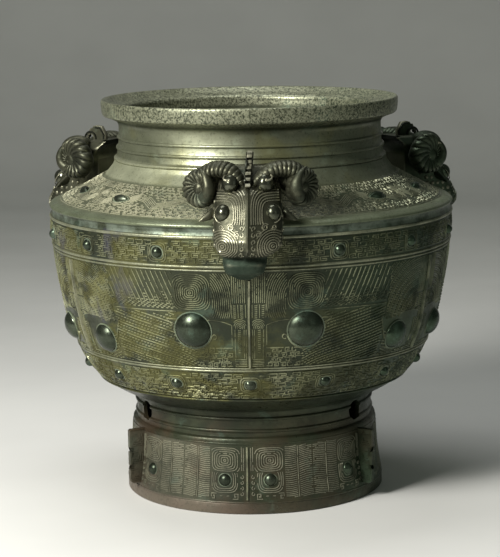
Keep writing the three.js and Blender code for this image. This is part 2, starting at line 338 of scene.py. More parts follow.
def level_lines(values, whole, u, v):
    """Polylines where the values on a grid change sign."""
    above = values > 0
    corners = (above[:-1, :-1], above[1:, :-1], above[1:, 1:], above[:-1, 1:])
    total = sum(c.astype(int) for c in corners)
    cells = np.argwhere((total > 0) & (total < 4) & whole)
    links, places = {}, {}

    def crossing(i, j, k, m):
        key = (i, j, k, m)
        if key not in places:
            t = values[i, j] / (values[i, j] - values[k, m])
            places[key] = (u[i] + t * (u[k] - u[i]), v[j] + t * (v[m] - v[j]))
        return key

    for i, j in cells.tolist():
        edges = []
        for a, b, c, d in ((i, j, i + 1, j), (i + 1, j, i + 1, j + 1),
                           (i, j + 1, i + 1, j + 1), (i, j, i, j + 1)):
            if above[a, b] != above[c, d]:
                edges.append(crossing(a, b, c, d))
        for one, other in zip(edges[::2], edges[1::2]):
            links.setdefault(one, []).append(other)
            links.setdefault(other, []).append(one)
    found = []
    while links:
        start = next((k for k, near in links.items() if len(near) == 1), next(iter(links)))
        line, here = [start], start
        while links.get(here):
            after = links[here].pop()
            links[after].remove(here)
            if not links[here]:
                del links[here]
            line.append(after)
            here = after
        links.pop(here, None)
        found.append(simplified(np.array([places[k] for k in line])))
    return [line for line in found if path_length(line) > 3]


def path_length(line):
    """The whole length of a line."""
    return float(np.hypot(*np.diff(line, axis=0).T).sum())


def simplified(line, tolerance=0.14, longest=14):
    """The line without the points within the tolerance of a straight run, no run being too long."""
    keep = np.zeros(len(line), bool)
    keep[[0, -1]] = True
    todo = [(0, len(line) - 1)]
    while todo:
        a, b = todo.pop()
        if b - a < 2:
            continue
        run = line[b] - line[a]
        rest = line[a + 1:b] - line[a]
        size = math.hypot(*run)
        away = np.hypot(*rest.T) if size < 1e-6 else abs(run[0] * rest[:, 1] - run[1] * rest[:, 0]) / size
        far = int(away.argmax())
        if away[far] > tolerance or size > longest:
            far = far if away[far] > tolerance else (b - a) // 2 - 1
            keep[a + 1 + far] = True
            todo += [(a, a + 1 + far), (a + 1 + far, b)]
    return line[keep]


def broken(lines, draw, gap=3.0, chance=0.25, shortest=1.5, near=0.2):
    """The lines with worn gaps: each is cut into runs, and some short runs are left out."""
    found = []
    for line in lines:
        at = running_length(line)
        run = draw.uniform(4, 30)
        start = 0.0
        while start < at[-1]:
            end = min(start + run, at[-1])
            if end - start > shortest:
                inner = at[(at > start + near) & (at < end - near)]
                found.append(points_along(line, np.concatenate([[start], inner, [end]])))
            start = end + (gap * draw.uniform(0.4, 1.2) if draw.random() < chance else 0.01)
            run = draw.uniform(5, 40)
    return found


def rings(cu, cv, power=2.0, stretch=1.0):
    """A field of nested rounded shapes about a centre."""
    def field(u, v):
        du, dv = abs(u - cu) / stretch, abs(v - cv)
        return (du ** power + dv ** power) ** (1 / power)
    return field


def along_path(points):
    """A field of the distance from a path."""
    path = np.asarray(points, float)

    def field(u, v):
        nearest = np.full(u.shape, 1e9)
        for (au, av), (bu, bv) in zip(path[:-1], path[1:]):
            ru, rv = bu - au, bv - av
            t = np.clip(((u - au) * ru + (v - av) * rv) / (ru * ru + rv * rv), 0, 1)
            nearest = np.minimum(nearest, np.hypot(u - au - t * ru, v - av - t * rv))
        return nearest
    return field


def nearest_of(*fields):
    """A field of the least of several fields."""
    return lambda u, v: np.minimum.reduce([field(u, v) for field in fields])


def hooks(keep, span, draw, cell=(10.4, 7.6), pitch=PITCH, full=0.75):
    """Small squared spirals, the thunder pattern, that fill a region cell by cell."""
    found = []
    wide, tall = cell
    rows = max(1, round((span[3] - span[2]) / tall))
    columns = max(1, round((span[1] - span[0]) / wide))
    tall = (span[3] - span[2]) / rows
    wide = (span[1] - span[0]) / columns
    w, h = wide / 2 - pitch * 0.42, tall / 2 - pitch * 0.42
    for row in range(rows):
        for column in range(columns):
            shift = 0.5 * wide if row % 2 else 0.0
            cu = span[0] + (column + 0.5) * wide + shift + draw.normal(0, 0.3)
            cv = span[2] + (row + 0.5) * tall + draw.normal(0, 0.2)
            flip_u, flip_v = draw.choice([-1, 1], 2)
            if not bool(np.all(keep(np.array([cu - w, cu + w, cu]), np.array([cv - h, cv + h, cv])))):
                if bool(keep(np.array([cu]), np.array([cv]))[0]):
                    dash = np.array([(-w * 0.5, 0), (w * 0.5, 0)]) + (cu, cv)
                    found.append(dash)
                continue
            turns = [(-w, -h), (w, -h), (w, h), (-w + pitch, h), (-w + pitch, -h + pitch),
                     (w - pitch, -h + pitch), (w - pitch, h - pitch * 1.1), (0, h - pitch * 1.1)]
            count = len(turns) if draw.random() < full else 5
            line = np.array(turns[:count]) * (flip_u, flip_v) + (cu, cv)
            found.append(line)
    return found


def ribbons(lines, base=LINE["base"], top=LINE["top"], proud=LINE["proud"], root=LINE["root"]):
    """Raised lines with sloping sides, as local points (u, v, proud) and quads."""
    points, quads, start = [], [], 0
    for line in lines:
        count = len(line)
        run = np.gradient(line, axis=0) if count > 2 else np.repeat(np.diff(line, axis=0), 2, 0)
        size = np.maximum(np.hypot(*run.T), 1e-6)
        side = np.stack([-run[:, 1], run[:, 0]], -1) / size[:, None]
        if count > 2:
            legs = np.diff(line, axis=0)
            legs = legs / np.maximum(np.hypot(*legs.T), 1e-6)[:, None]
            turn = np.clip((legs[:-1] * legs[1:]).sum(1), -0.6, 1)
            side[1:-1] *= np.minimum(1 / np.sqrt((1 + turn) / 2), 1.5)[:, None]
        section = ((-base, -root), (-top, proud), (top, proud), (base, -root))
        ring = np.stack([np.column_stack([line + side * s, np.full(count, p)]) for s, p in section], 1)
        points.append(ring.reshape(-1, 3))
        faces = grid_quads(count, 4, True)
        last = (count - 1) * 4
        caps = np.array([[3, 2, 1, 0], [last, last + 1, last + 2, last + 3]])
        quads.append(np.vstack([faces, caps]) + start)
        start += count * 4
    return np.vstack(points), np.vstack(quads)


def relief(strip, lines, places, seed, **section):
    """The same raised lines on the wall at each place: (azimuth, mirrored)."""
    points, quads = ribbons(lines, **section)
    skins = []
    for number, (azimuth, mirrored) in enumerate(places):
        placed = strip.placed(points, azimuth, mirrored, seed + number)
        skins.append(Skin(placed, flipped(quads, mirrored)))
    return joined(skins)


# Patterns of the bands, each in its strip's own coordinates

BELLY_STRIP = Strip(205.4, 328.4, BELLY_RADIUS)
UPPER_STRIP = Strip(337.4, 367.6, BAND_RADIUS)
LOWER_STRIP = Strip(159.2, 198.2, LOWER_RADIUS)
SHOULDER_STRIP = Strip(391, 421.4, SHOULDER_RADIUS)
FOOT_STRIP = Strip(18.4, 87.6, FOOT_RADIUS)
HALF_SECTOR = math.radians(30)

# Heights of the mask's parts, which move with its lift
COIL_HEIGHT = 302
UPRIGHTS_FROM = 290
SHORT_UPRIGHTS = (271, 288)
BROW_HEIGHT = 280
PLATE_TOP = 267
SCALLOP_HEIGHT = 259
SCALLOP_LIMITS = (256, 269)

# Paths of the dragon's body and neck from its eye
DRAGON_BODY = [(14, -1), (28, 8), (46, 3), (62, -10), (82, -3), (102, 9), (122, -6), (142, -2)]
DRAGON_NECK = [(-14, -2), (-27, -11), (-44, -9), (-52, 4), (-44, 11)]


def upright(u, low, high):
    """A straight line up the wall."""
    return np.array([(u, low), (u, high)])


def level(v, left, right):
    """A straight line round the wall."""
    return np.array([(left, v), (right, v)])


def hook(u, v):
    """A short line with a turned end."""
    return np.array([(u - 1.6, v), (u + 1.4, v), (u + 1.4, v + 1.3)])


def hook_column(u, low, high, step):
    """Hooks one over the other."""
    return [hook(u, v) for v in np.arange(low, high, step)]


class Mask:
    """Half of a belly mask: its ridge is at u = 0 and the next mask starts at the far end."""

    def __init__(self, eye, lift, reach):
        self.lift, self.wide = lift, reach > 30
        self.end = math.radians(reach) * BELLY_RADIUS - 0.8
        self.top = BELLY_STRIP.width - 1.0
        self.radius = eye["radius"]
        self.eye_u, self.eye_v = math.radians(eye["azimuth"]) * BELLY_RADIUS, BELLY_STRIP.at(eye["height"])
        self.brow_v = self.lifted(BROW_HEIGHT)
        self.hatch_u = self.eye_u + 22
        self.plate = (self.eye_u - self.radius - 27, self.eye_u - 6, self.eye_v - 22, self.lifted(PLATE_TOP))

    def lifted(self, height):
        """The place up the wall of a height that moves with the mask's lift."""
        return BELLY_STRIP.at(height + self.lift)

    def plate_fall(self, u):
        """How far the top edge of the eye's plate falls away towards the ridge."""
        return 0.0085 * np.maximum(self.eye_u - 24 - u, 0) ** 2

    def clear(self, u, v):
        """Whether a place is in the mask's field and off the eye, its plate and its corner."""
        left, right, low, high = self.plate
        eye_u, eye_v = self.eye_u, self.eye_v
        off_eye = np.hypot(u - eye_u, v - eye_v) > self.radius + 1.6
        on_plate = (u > left) & (u < right) & (v > low) & (v < high - self.plate_fall(u))
        corner = (u > eye_u) & (u < eye_u + 34) & (abs(v - eye_v - 15) < 11 - 0.34 * (u - eye_u))
        return off_eye & ~on_plate & ~corner & (v > 1) & (v < self.top) & (u < self.end)

    def within(self, left, right, low=0.0, high=1e9):
        """A test for the clear places between limits along and up."""
        return lambda u, v: self.clear(u, v) & (u > left) & (u < right) & (v > low) & (v < high)

    def coil(self):
        """The coil over the eye, and the arches of lines that turn down round it."""
        centre_v, left = self.lifted(COIL_HEIGHT), self.eye_u - 26
        nested = rings(self.eye_u, centre_v, 3.2, 1.06)
        arches = rings(self.eye_u + 2, centre_v - 10, 2.3, 1.0)
        limits = (left, self.hatch_u, self.brow_v, self.top)
        lines = iso_lines(nested, self.within(*limits), 1.3, 24, PITCH, limits)
        beside = self.within(21, left, self.lifted(270))
        span = (20, left + 1, self.lifted(268), self.top)
        return lines + iso_lines(arches, beside, 20, 62, PITCH, span)

    def side_arches(self):
        """Arches in pairs over a side mask, with a row of hooks after each pair."""
        arches = rings(4, BELLY_STRIP.at(230), 2.7, 0.86)
        over = self.within(20, self.end, self.lifted(262))
        span = (20, self.end, self.lifted(260), self.top)
        lines = []
        for start in np.arange(20, 130, 8.1):
            lines += iso_lines(arches, over, start, start + 2.6, PITCH, span)
            for curve in iso_lines(arches, over, start + 5.2, start + 5.3, PITCH, span):
                places = points_along(curve, np.arange(1.5, path_length(curve) - 1, 3.4))
                lines += [hook(u, v) for u, v in places]
        return lines

    def beside_ridge(self):
        """Upright lines with hooks, scallops, a comb and level lines, from the top to the bottom."""
        low, high = (self.lifted(height) for height in SHORT_UPRIGHTS)
        scallops_from, scallops_to = (self.lifted(height) for height in SCALLOP_LIMITS)
        lines = [upright(u, self.lifted(UPRIGHTS_FROM), self.top) for u in np.arange(4.6, 20.6, PITCH)]
        for u in (8.5, 17.5):
            lines += hook_column(u, low, high, 2.6)
        lines += [upright(u, low, high) for u in (3.9, 13.2, 21.3)]
        scallop = rings(11.5, self.lifted(SCALLOP_HEIGHT))
        lines += iso_lines(scallop, self.within(3, 20, scallops_from), 1.6, 9, 2.1,
                           (3, 20, scallops_from, scallops_to))
        lines += hook_column(12.3, BELLY_STRIP.at(226), self.lifted(255), 2.7)
        lines += [upright(u, BELLY_STRIP.at(218), scallops_from) for u in (3.9, 6.4, 18.0)]
        return lines + [level(v, 3.6, 19.5) for v in np.arange(2.0, BELLY_STRIP.at(217), PITCH)]

    def brow(self, draw):
        """Slanting lines with hooks under them, columns of hooks between, and a long line below."""
        lean = 0.42
        top, brow_v, left, end = self.top, self.brow_v, self.hatch_u, self.end
        lines = []
        for number, u in enumerate(np.arange(left + 2, end + 20, 3.4)):
            only_hooks = number % 2
            low = top if only_hooks else brow_v + 5 + 7 * draw.random()
            hooks_to = brow_v + 13 + 9 * draw.random() if only_hooks else low - 1.2
            start = max(low, top - (u - left - 1) / lean)
            stop = min(top, top - (u - end) / lean)
            if stop - start > 2:
                lines.append(np.array([(u - (top - v) * lean, v) for v in (start, stop)]))
            for v in np.arange(brow_v + 1.5 + 1.8 * only_hooks, hooks_to, 3.7):
                if left < u - (top - v) * lean < end - 2:
                    lines.append(hook(u - (top - v) * lean, v))
        lines.append(np.array([(left - 2, brow_v - 2.4), (end - 1, brow_v - 3.4)]))
        return lines

    def cheek(self, draw):
        """Flowing lines, with rows of hooks between them."""
        eye_u, eye_v, left = self.eye_u, self.eye_v, self.eye_u - 4
        top = self.brow_v - 4.5 if self.wide else self.lifted(262)
        below_brow = self.within(left, self.end, 0.0, top)

        def keep(u, v):
            return below_brow(u, v) & ((u > eye_u + 14) | (v < eye_v))

        def flow(u, v):
            return v - 0.22 * (u - eye_u) - 7 * np.tanh((u - eye_u) / 22)

        lines = []
        for start in np.arange(-60, 90, 12.0):
            lines += iso_lines(flow, keep, start, start + 0.1, 3.1, (left, self.end, 1, top), 1.2)
            for value in (start + 4.0, start + 8.2):
                for u in np.arange(left + draw.uniform(0, 3), self.end - 2, 4.6):
                    v = float(value - flow(u, 0.0))
                    if keep(u, v) and keep(u + 1, v + 2):
                        lines.append(hook(u, v))
        return lines

    def eye_frame(self):
        """The fine edge of the smooth plate that the eye stands on, with its curl and corner."""
        eye_u, eye_v = self.eye_u, self.eye_v
        left, _, low, high = self.plate
        reach = self.radius + 2.4
        under = arc((eye_u, eye_v), reach, np.radians(np.linspace(196, 318, 14)))
        curl = arc(under[0] + (-3.2, -1.0), 3, np.radians(np.linspace(20, 300, 9)))
        top_u = np.linspace(left, eye_u + 34, 12)
        top_v = high + 0.6 - self.plate_fall(top_u)
        side = [(left - 0.6, top_v[0]), (left - 0.6, low - 0.6), (under[0][0] - 8, low - 0.6)]
        corner = [(eye_u + 34, high - 0.4), (eye_u + 26, eye_v + 6), (eye_u + reach, eye_v - 3)]
        return [under, curl, np.stack([top_u, top_v], -1), np.array(side), np.array(corner)]

    def lines(self, draw):
        """All the lines of the half mask, with worn gaps."""
        found = self.coil() if self.wide else self.side_arches()
        found += self.beside_ridge()
        if self.wide:
            found += self.brow(draw)
        found += self.cheek(draw)
        right, high = self.eye_u - 4, self.plate[2]
        found += hooks(self.within(21, right, 0.0, high), (21, right, 0.6, high), draw)
        return broken(found + self.eye_frame(), draw)


def band_lines(strip, half, boss_v, draw, boss_offsets):
    """Level lines and thunder pattern along a narrow band, framed round its bosses."""
    low, top = 0.8, strip.width - 0.9

    def in_frame(u, v):
        return (v > low) & (v < top) & (u > -14) & (u < half)

    def clear(u, v):
        inside = in_frame(u, v) & (u > 0)
        for boss_u in boss_offsets:
            inside &= (abs(u - boss_u) ** 4 + abs(v - boss_v) ** 4) > (BOSS_RADIUS + 6.4) ** 4
        return inside

    lines = []
    for boss_u in boss_offsets:
        lines += iso_lines(rings(boss_u, boss_v, 4.0), in_frame, BOSS_RADIUS + 2, BOSS_RADIUS + 5, PITCH,
                           (boss_u - 15, boss_u + 15, 0, top))
    lines += hooks(clear, (0, half, 1.2, top - 0.4), draw, cell=(12.6, 7.2), full=0.6)
    return broken(lines, draw, chance=0.35)


def dragon_lines(draw):
    """Half of the shoulder between two heads: u = 0 is the middle of the gap."""
    top, half = SHOULDER_STRIP.width - 0.6, math.radians(50.5) * SHOULDER_RADIUS
    eye_u = math.radians(LENS_EYE["azimuth"]) * SHOULDER_RADIUS
    eye_v = SHOULDER_STRIP.at(LENS_EYE["height"])
    shape = nearest_of(*(along_path(np.add(way, (eye_u, eye_v))) for way in (DRAGON_BODY, DRAGON_NECK)))
    lens = rings(eye_u, eye_v, 1.7, 2.0)

    def clear(u, v):
        return (v > 0.8) & (v < top) & (lens(u, v) > 8) & (u > 0) & (u < half)

    def round_lens(u, v):
        return clear(u, v) & (shape(u, v) > 7.2)

    def rest(u, v):
        return clear(u, v) & (shape(u, v) > 7.6) & (lens(u, v) > 13.6)

    lines = iso_lines(shape, clear, 0.9, 6.5, 2.3, (0, half, 0, top))
    lines += iso_lines(lens, round_lens, 9, 13, 2.3, (eye_u - 30, eye_u + 30, 0, top))
    lines += hooks(rest, (0, half, 2.8, top), draw, cell=(9.2, 6.4), pitch=2.2)
    lines.append(level(0.9, 0, half))
    return broken(lines, draw, chance=0.4)


def foot_lines(draw):
    """Half of a foot mask, from its ridge or flange at u = 0."""
    end, top = HALF_SECTOR * FOOT_RADIUS - 0.8, FOOT_STRIP.width - 1
    left, right, divide = 12, 47, 66
    coil_low, hooks_to = FOOT_STRIP.at(54), FOOT_STRIP.at(36)
    eye_u = math.radians(FOOT_EYE["azimuth"]) * FOOT_RADIUS
    eye_v = FOOT_STRIP.at(FOOT_EYE["height"])
    coil = rings(29, FOOT_STRIP.at(69), 4.0, 1.2)
    eye_rings = rings(eye_u, eye_v, 3.4)

    def clear(u, v):
        return (v > 1) & (v < top) & (u > 4.2) & (u < end) & (np.hypot(u - eye_u, v - eye_v) > 9.6)

    def in_coil(u, v):
        return clear(u, v) & (v > coil_low) & (u < right) & (u > 9)

    def near_eye(u, v):
        return clear(u, v) & (v < coil_low) & (u > left) & (u < right)

    def rest(u, v):
        return near_eye(u, v) & (eye_rings(u, v) > 18.5)

    def waving(u, v):
        return v + 2.2 * np.sin((u - 40) / 9) + 1.4 * np.sin(v / 11)

    def beyond(u, v):
        return clear(u, v) & (u > right + 1.5) & (abs(u - divide) > 1.6)

    lines = iso_lines(coil, in_coil, 1.3, 16, PITCH, (9, right, coil_low, top))
    lines += [upright(u, FOOT_STRIP.at(56), top) for u in (4.8, 7.3)]
    lines += [spiral(7.5, v, 2.6, 0.9, 1.8) for v in np.arange(8, FOOT_STRIP.at(52), 7.2)]
    lines += iso_lines(eye_rings, near_eye, 11.4, 17, PITCH, (left, right, 1, coil_low))
    lines += hooks(rest, (left, right, 0.8, hooks_to), draw, cell=(9.6, 7.4))
    lines += iso_lines(waving, beyond, 1.5, 74, PITCH, (right + 1, end, 1, top))
    lines.append(upright(divide, 2, top - 1))
    return broken(lines, draw, chance=0.3)


# The foot's flanges and the ridges

def across_x(outline, x):
    """An outline of reach and height as points in a plane across the X axis."""
    return np.column_stack([np.full(len(outline), x), -outline[:, 0], outline[:, 1]])


def plate(outline, thickness, azimuth, bevel=0.8):
    """An upright plate in the plane of the axis: its outline is radius and height."""
    outline = np.asarray(outline, float)
    centre = outline.mean(0)
    inner = centre + (outline - centre) * (1 - bevel / np.abs(outline - centre).max())
    half = thickness / 2
    rows = []
    for ring, x in ((inner, -half), (outline, -half + bevel), (outline, half - bevel), (inner, half)):
        rows.append(across_x(ring, x))
    return tube(rows).moved(lambda p: turned(p, azimuth))


def turned(points, azimuth):
    """Points turned about the vessel's axis, from the front towards +X."""
    c, s = math.cos(math.radians(azimuth)), math.sin(math.radians(azimuth))
    x, y, z = points.T
    return np.stack([x * c - y * s, x * s + y * c, z], -1)


def on_both_sides(half, points, quads):
    """Raised lines, given as reach, height and proud, on both sides of a plate across the X axis."""
    skins = []
    for side in (-1, 1):
        placed = np.stack([side * (half + points[:, 2]), -points[:, 0], points[:, 1]], -1)
        skins.append(Skin(placed, flipped(quads, side > 0)))
    return skins


def flange(azimuth):
    """A notched flange of the foot, with squared raised lines on its sides."""
    root, low, high = FOOT_RADIUS - 6, FLANGE["low"], FLANGE["high"]
    reach = float(wall_radius(60)) + FLANGE["proud"]
    depth = FLANGE["notch"]
    steps = [(reach - (depth if k % 2 else 0), z + shift)
             for z in (42, 66) for k, shift in ((0, -3.0), (1, -2.6), (1, 2.6), (0, 3.0))]
    outline = [(root, low), (reach - 4, low), (reach - 0.8, low + 3), (reach, low + 8), *steps,
               (reach, high - 1.5), (reach - 1.5, high), (root, high)]
    lines = []
    for start in (24, 47, 70):
        for inset in (0, 2.6, 5.2):
            left, right, base = FOOT_RADIUS + 1 + inset, reach - 2 - inset * 0.6, start + 1 + inset
            lines.append(np.array([(left, start + 16 - inset), (left, base), (right, base)]))
        left, right = FOOT_RADIUS + 8, reach - 2
        lines.append(np.array([(left, start + 15), (right, start + 15), (right, start + 9)]))
    raised = on_both_sides(FLANGE["thickness"] / 2, *ribbons(lines, base=0.6, top=0.35, proud=0.7))
    return [plate(outline, FLANGE["thickness"], azimuth),
            *(Skin(turned(skin.points, azimuth), skin.quads) for skin in raised)]


def ridge(strip, azimuth, low, high, count, **section):
    """One upright ridge on a strip of the wall, in so many points."""
    line = np.stack([np.zeros(count), np.linspace(low, high, count)], -1)
    return relief(strip, [line], [(azimuth, False)], 0, **section)


def ridges():
    """The thin ridges on the joints of the mould, on the belly and on the foot."""
    skins = []
    for number, joint in enumerate(JOINTS):
        top = BELLY_STRIP.at(RIDGE_TOPS[number % 2])
        skins.append(ridge(BELLY_STRIP, joint, 0.6, top, 16, base=1.7, top=1.0, proud=3.3))
        if joint not in GAPS_BETWEEN_HEADS:
            top = FOOT_STRIP.width - 0.8
            skins.append(ridge(FOOT_STRIP, joint + FOOT_TURN, 0.8, top, 10, base=1.5, top=0.9, proud=2.5))
    return joined(skins)


# Bosses

def boss(half_length, half_width, proud, power=2.0, pinch=0.0, rows=12, around=36):
    """A domed boss lying on the XY plane, with a closed root just under it."""
    angles = full_turn(around)
    shape = (np.abs(np.cos(angles)) ** power + np.abs(np.sin(angles)) ** power) ** (-1 / power)
    narrow = 1 - pinch * np.abs(np.cos(angles)) ** 1.5
    shares = np.cos(np.linspace(0.03, 0.5 * math.pi * 0.985, rows))
    levels = [(1.0, -1.6)] + [(s, proud * (1 - s ** 2.2) ** 0.72 + 0.001) for s in shares]
    stack = [np.stack([half_length * s * shape * np.cos(angles),
                       half_width * s * shape * np.sin(angles) * narrow, np.full(around, z)], -1)
             for s, z in levels]
    return tube(np.array(stack))


def on_wall(skin, azimuth, height):
    """Sets a boss on the wall, its X axis running round the vessel."""
    reach = 3
    low, high = wall_radius(height - reach), wall_radius(height + reach)
    slope = math.atan2(float(high - low), 2 * reach)
    c, s = math.cos(slope), math.sin(slope)
    x, across, proud = skin.points.T
    radius = float(low + high) / 2
    z = height + across * c - proud * s
    r = radius + across * s + proud * c
    return Skin(turned(np.stack([x, -r, z], -1), azimuth), skin.quads, skin.triangles).faced_out()


def boss_azimuths(step):
    """The azimuths of a band's bosses: even steps over the front, and even gaps behind."""
    side = (FRONT_BOSSES - 1) // 2
    others = BOSSES_AROUND - FRONT_BOSSES
    gap = (360 - 2 * side * step) / (others + 1)
    front = [k * step for k in range(-side, side + 1)]
    return front + [side * step + k * gap for k in range(1, others + 1)]


def under_head(azimuth):
    """Whether a head's chin takes a boss's place."""
    turns = [(azimuth - head + 180) % 360 - 180 for head in HEAD_ANGLES.values()]
    return any(abs(turn) < CHIN_CLEARANCE for turn in turns)


def bosses():
    """The eyes of the masks, the studs with the other eyes, and the rims round them all."""
    large, small, rims = [], [], []

    def add(group, azimuth, height, dome, rim):
        group.append(on_wall(dome, azimuth, height))
        rims.append(on_wall(rim, azimuth, height))

    for number, joint in enumerate(JOINTS):
        eye = SIDE_EYES if number % 2 else RAM_EYES
        size, foot_size = eye["radius"], FOOT_EYE["radius"]
        for side in (-1, 1):
            add(large, joint + side * eye["azimuth"], eye["height"],
                boss(size, size, eye["proud"], rows=18, around=64),
                boss(size + RIM_EDGE, size + RIM_EDGE, 0.9, rows=4, around=64))
            add(small, joint + FOOT_TURN + side * FOOT_EYE["azimuth"], FOOT_EYE["height"],
                boss(foot_size, foot_size, FOOT_EYE["proud"]),
                boss(foot_size + 1, foot_size + 1, 0.7, rows=3))
    for band in (UPPER_BOSSES, LOWER_BOSSES):
        for number, azimuth in enumerate(boss_azimuths(band["step"])):
            if band is UPPER_BOSSES and under_head(azimuth):
                continue
            squared = number % SQUARED_EVERY == 0
            power = 3.2 if squared else 2.0
            size = BOSS_RADIUS * (0.93 if squared else 1)
            add(small, azimuth, band["height"], boss(size, size, BOSS_PROUD, power),
                boss(size + RIM_EDGE, size + RIM_EDGE, 0.8, power, rows=3))
    length, width = LENS_EYE["length"] / 2, LENS_EYE["width"] / 2
    for middle in GAPS_BETWEEN_HEADS:
        for side in (-1, 1):
            add(small, middle + side * LENS_EYE["azimuth"], LENS_EYE["height"],
                boss(length, width, LENS_EYE["proud"], 1.7, 0.3),
                boss(length + 1.6, width + 1.4, 0.9, 1.7, 0.3, 4))
    return joined(large), joined(small), joined(rims)


# The body

def body_skin():
    """The wall as one closed skin turned round the axis, with the slight wander of a casting."""
    profile = np.array(OUTSIDE + INSIDE + UNDERSIDE)
    count = BODY_COLUMNS
    angles = np.arange(count) * TAU / count
    r, z = profile[:, :1], profile[:, 1:]
    outer = (np.arange(len(profile)) < len(OUTSIDE))[:, None]
    wander = BODY_WANDER * waves(angles[None] * 9, z / 23, 11) * outer
    reach = np.where(r < BELLY_SIDE[-1][0], r + wander, r)
    points = np.stack([reach * np.sin(angles), -reach * np.cos(angles), z + 0 * angles], -1)
    under = (len(OUTSIDE) + len(INSIDE)) * count
    floor = under - count
    quads = np.delete(closed_quads(len(profile), count), slice(floor, under), axis=0)
    centres = np.array([[0, 0, INSIDE[-1][1]], [0, 0, UNDERSIDE[0][1]]])
    middle = len(profile) * count
    triangles = np.vstack([fan(floor, count, middle), fan(under, count, middle + 1, reverse=True)])
    return Skin(np.vstack([points.reshape(-1, 3), centres]), quads, triangles).faced_out()


def cut_foot_holes(body, material):
    """The round holes through the neck of the foot, cut with short bars."""
    x, z = arc((0, FOOT_HOLE["height"]), FOOT_HOLE["radius"], full_turn(40)).T
    section = np.stack([x, 0 * x, z], -1)
    bar = tube([section - (0, reach, 0) for reach in FOOT_HOLE["reach"]])
    bars = [bar.moved(lambda p, a=azimuth: turned(p, a + FOOT_TURN)) for azimuth in GAPS_BETWEEN_HEADS]
    cutter = mesh_object("bars", joined(bars), material)
    cut = body.modifiers.new("holes", "BOOLEAN")
    cut.object, cut.operation, cut.solver = cutter, "DIFFERENCE", "EXACT"
    depsgraph = bpy.context.evaluated_depsgraph_get()
    shaped = bpy.data.meshes.new_from_object(body.evaluated_get(depsgraph))
    body.modifiers.clear()
    body.data = shaped
    bar_mesh = cutter.data
    bpy.data.objects.remove(cutter)
    bpy.data.meshes.remove(bar_mesh)


# Ram's heads, made facing -Y: x across, "out" the distance from the axis, z up

# Height, reach of the middle, half width, and how far the edge falls back
SKULL = np.array([
    (322, 280, 9, 5), (326, 287, 16, 7), (331, 301, 23, 9), (343, 307, 26, 8), (349, 303, 26, 7),
    (351.5, 303, 26, 7), (355, 314, 32, 13), (363, 320.5, 38.5, 16), (373, 320, 40.5, 16),
    (390, 309, 40.5, 15), (413, 294, 39.5, 14), (424, 285, 39, 13), (433, 272, 39, 12),
    (446, 258, 37, 10), (455, 247, 30, 8),
])
HEAD_BACK = 222.0
EYE = {"x": 29.5, "z": 403, "out": 286, "width": 9.4, "height": 11.6, "depth": 12}
BROW = {"x": 21, "z": 437, "out": 267, "width": 10.5, "height": 12.8, "depth": 12.5}
COIL = {
    "ram_head_front": {"x": 60.5, "out": 254.0, "z": 430.5, "back": 26, "top": 23.6, "shift": 4},
    "ram_head_right": {"x": 60.5, "out": 246.5, "z": 432.5, "back": 39, "top": 29, "shift": 0},
    "ram_head_left": {"x": 60.5, "out": 246.5, "z": 432.5, "back": 39, "top": 29, "shift": 0},
}
COIL_LEAN = {
    "ram_head_front": {-1: math.radians(36), 1: math.radians(48)},
    "ram_head_right": {-1: math.radians(76), 1: math.radians(50)},
    "ram_head_left": {-1: math.radians(50), 1: math.radians(76)},
}
FACE_STEP = 0.9
FACE_LEAN = math.radians(34)
FACE_HEIGHTS = (324, 450)
FACE_WIDTH = 44
MOUTH_HEIGHT = 351
ROOT_DEPTH = 2.4
NECK_FOOT = 441
HOOP_SIDES = 10
ARCH_PATH = [(4, -266, 430), (10, -266, 440), (20, -264, 448.5), (34, -260, 452.5), (49, -256, 450.5),
             (62, -252, 442)]
ARCH_SHARES = (0, 0.2, 0.42, 0.75, 1)
ARCH_SIZES = (3.5, 6.8, 10, 11, 10.5)
ARCH_DEPTHS = (4.5, 11, 17, 18.5, 13)
ARCH_RIBS = {"step": 5.4, "depth": 0.13, "sharp": 0.38}
# From the back to the front of a coil: the share of its reach, and how far ahead of its middle
SHELL_PROFILE = [(0.05, -15), (0.55, -14), (0.9, -9), (1.0, -1), (0.95, 5.5), (0.78, 9.4), (0.5, 8.6),
                 (0.28, 6.2), (0.17, 7.2), (0.03, 8.2)]
# Heights, and how far a head sways to the side there
HEAD_SWAY_BY_HEIGHT = ((322, 350, 362, 400, 440, 475), (-4, -3.2, 0.6, 1.4, 1.2, 4.4))


def skull_sizes(z):
    """The skull's reach, half width and fall at a height."""
    return [np.interp(z, SKULL[:, 0], SKULL[:, k]) for k in (1, 2, 3)]


def skull_row(z):
    """The half section of the skull at a height, as rows of (x, out)."""
    reach, half, fall = skull_sizes(z)
    ridge = 1.5 * np.clip((z - 352) / 8, 0, 1) * np.clip((440 - z) / 12, 0, 1)
    flat = float(np.clip((MOUTH_HEIGHT - z) / 6, 0, 1))
    side = smooth_line([(0, reach), (0.42 * half, reach - (0.36 - 0.28 * flat) * fall),
                        (0.78 * half, reach - (0.76 - 0.3 * flat) * fall),
                        (half, reach - fall - 8), (half, reach - fall - 28),
                        (0.8 * half, HEAD_BACK)], 9)
    side[:, 1] += ridge * np.exp(-((side[:, 0] / 1.5) ** 2))
    return side


def dense_row(z):
    """The same half section with points close together beside the nose ridge."""
    side = skull_row(z)
    shares = np.concatenate([[0, 0.7, 1.5, 2.5], np.linspace(4, 45, 26)]) / 45
    return points_along(side, shares * running_length(side)[-1])


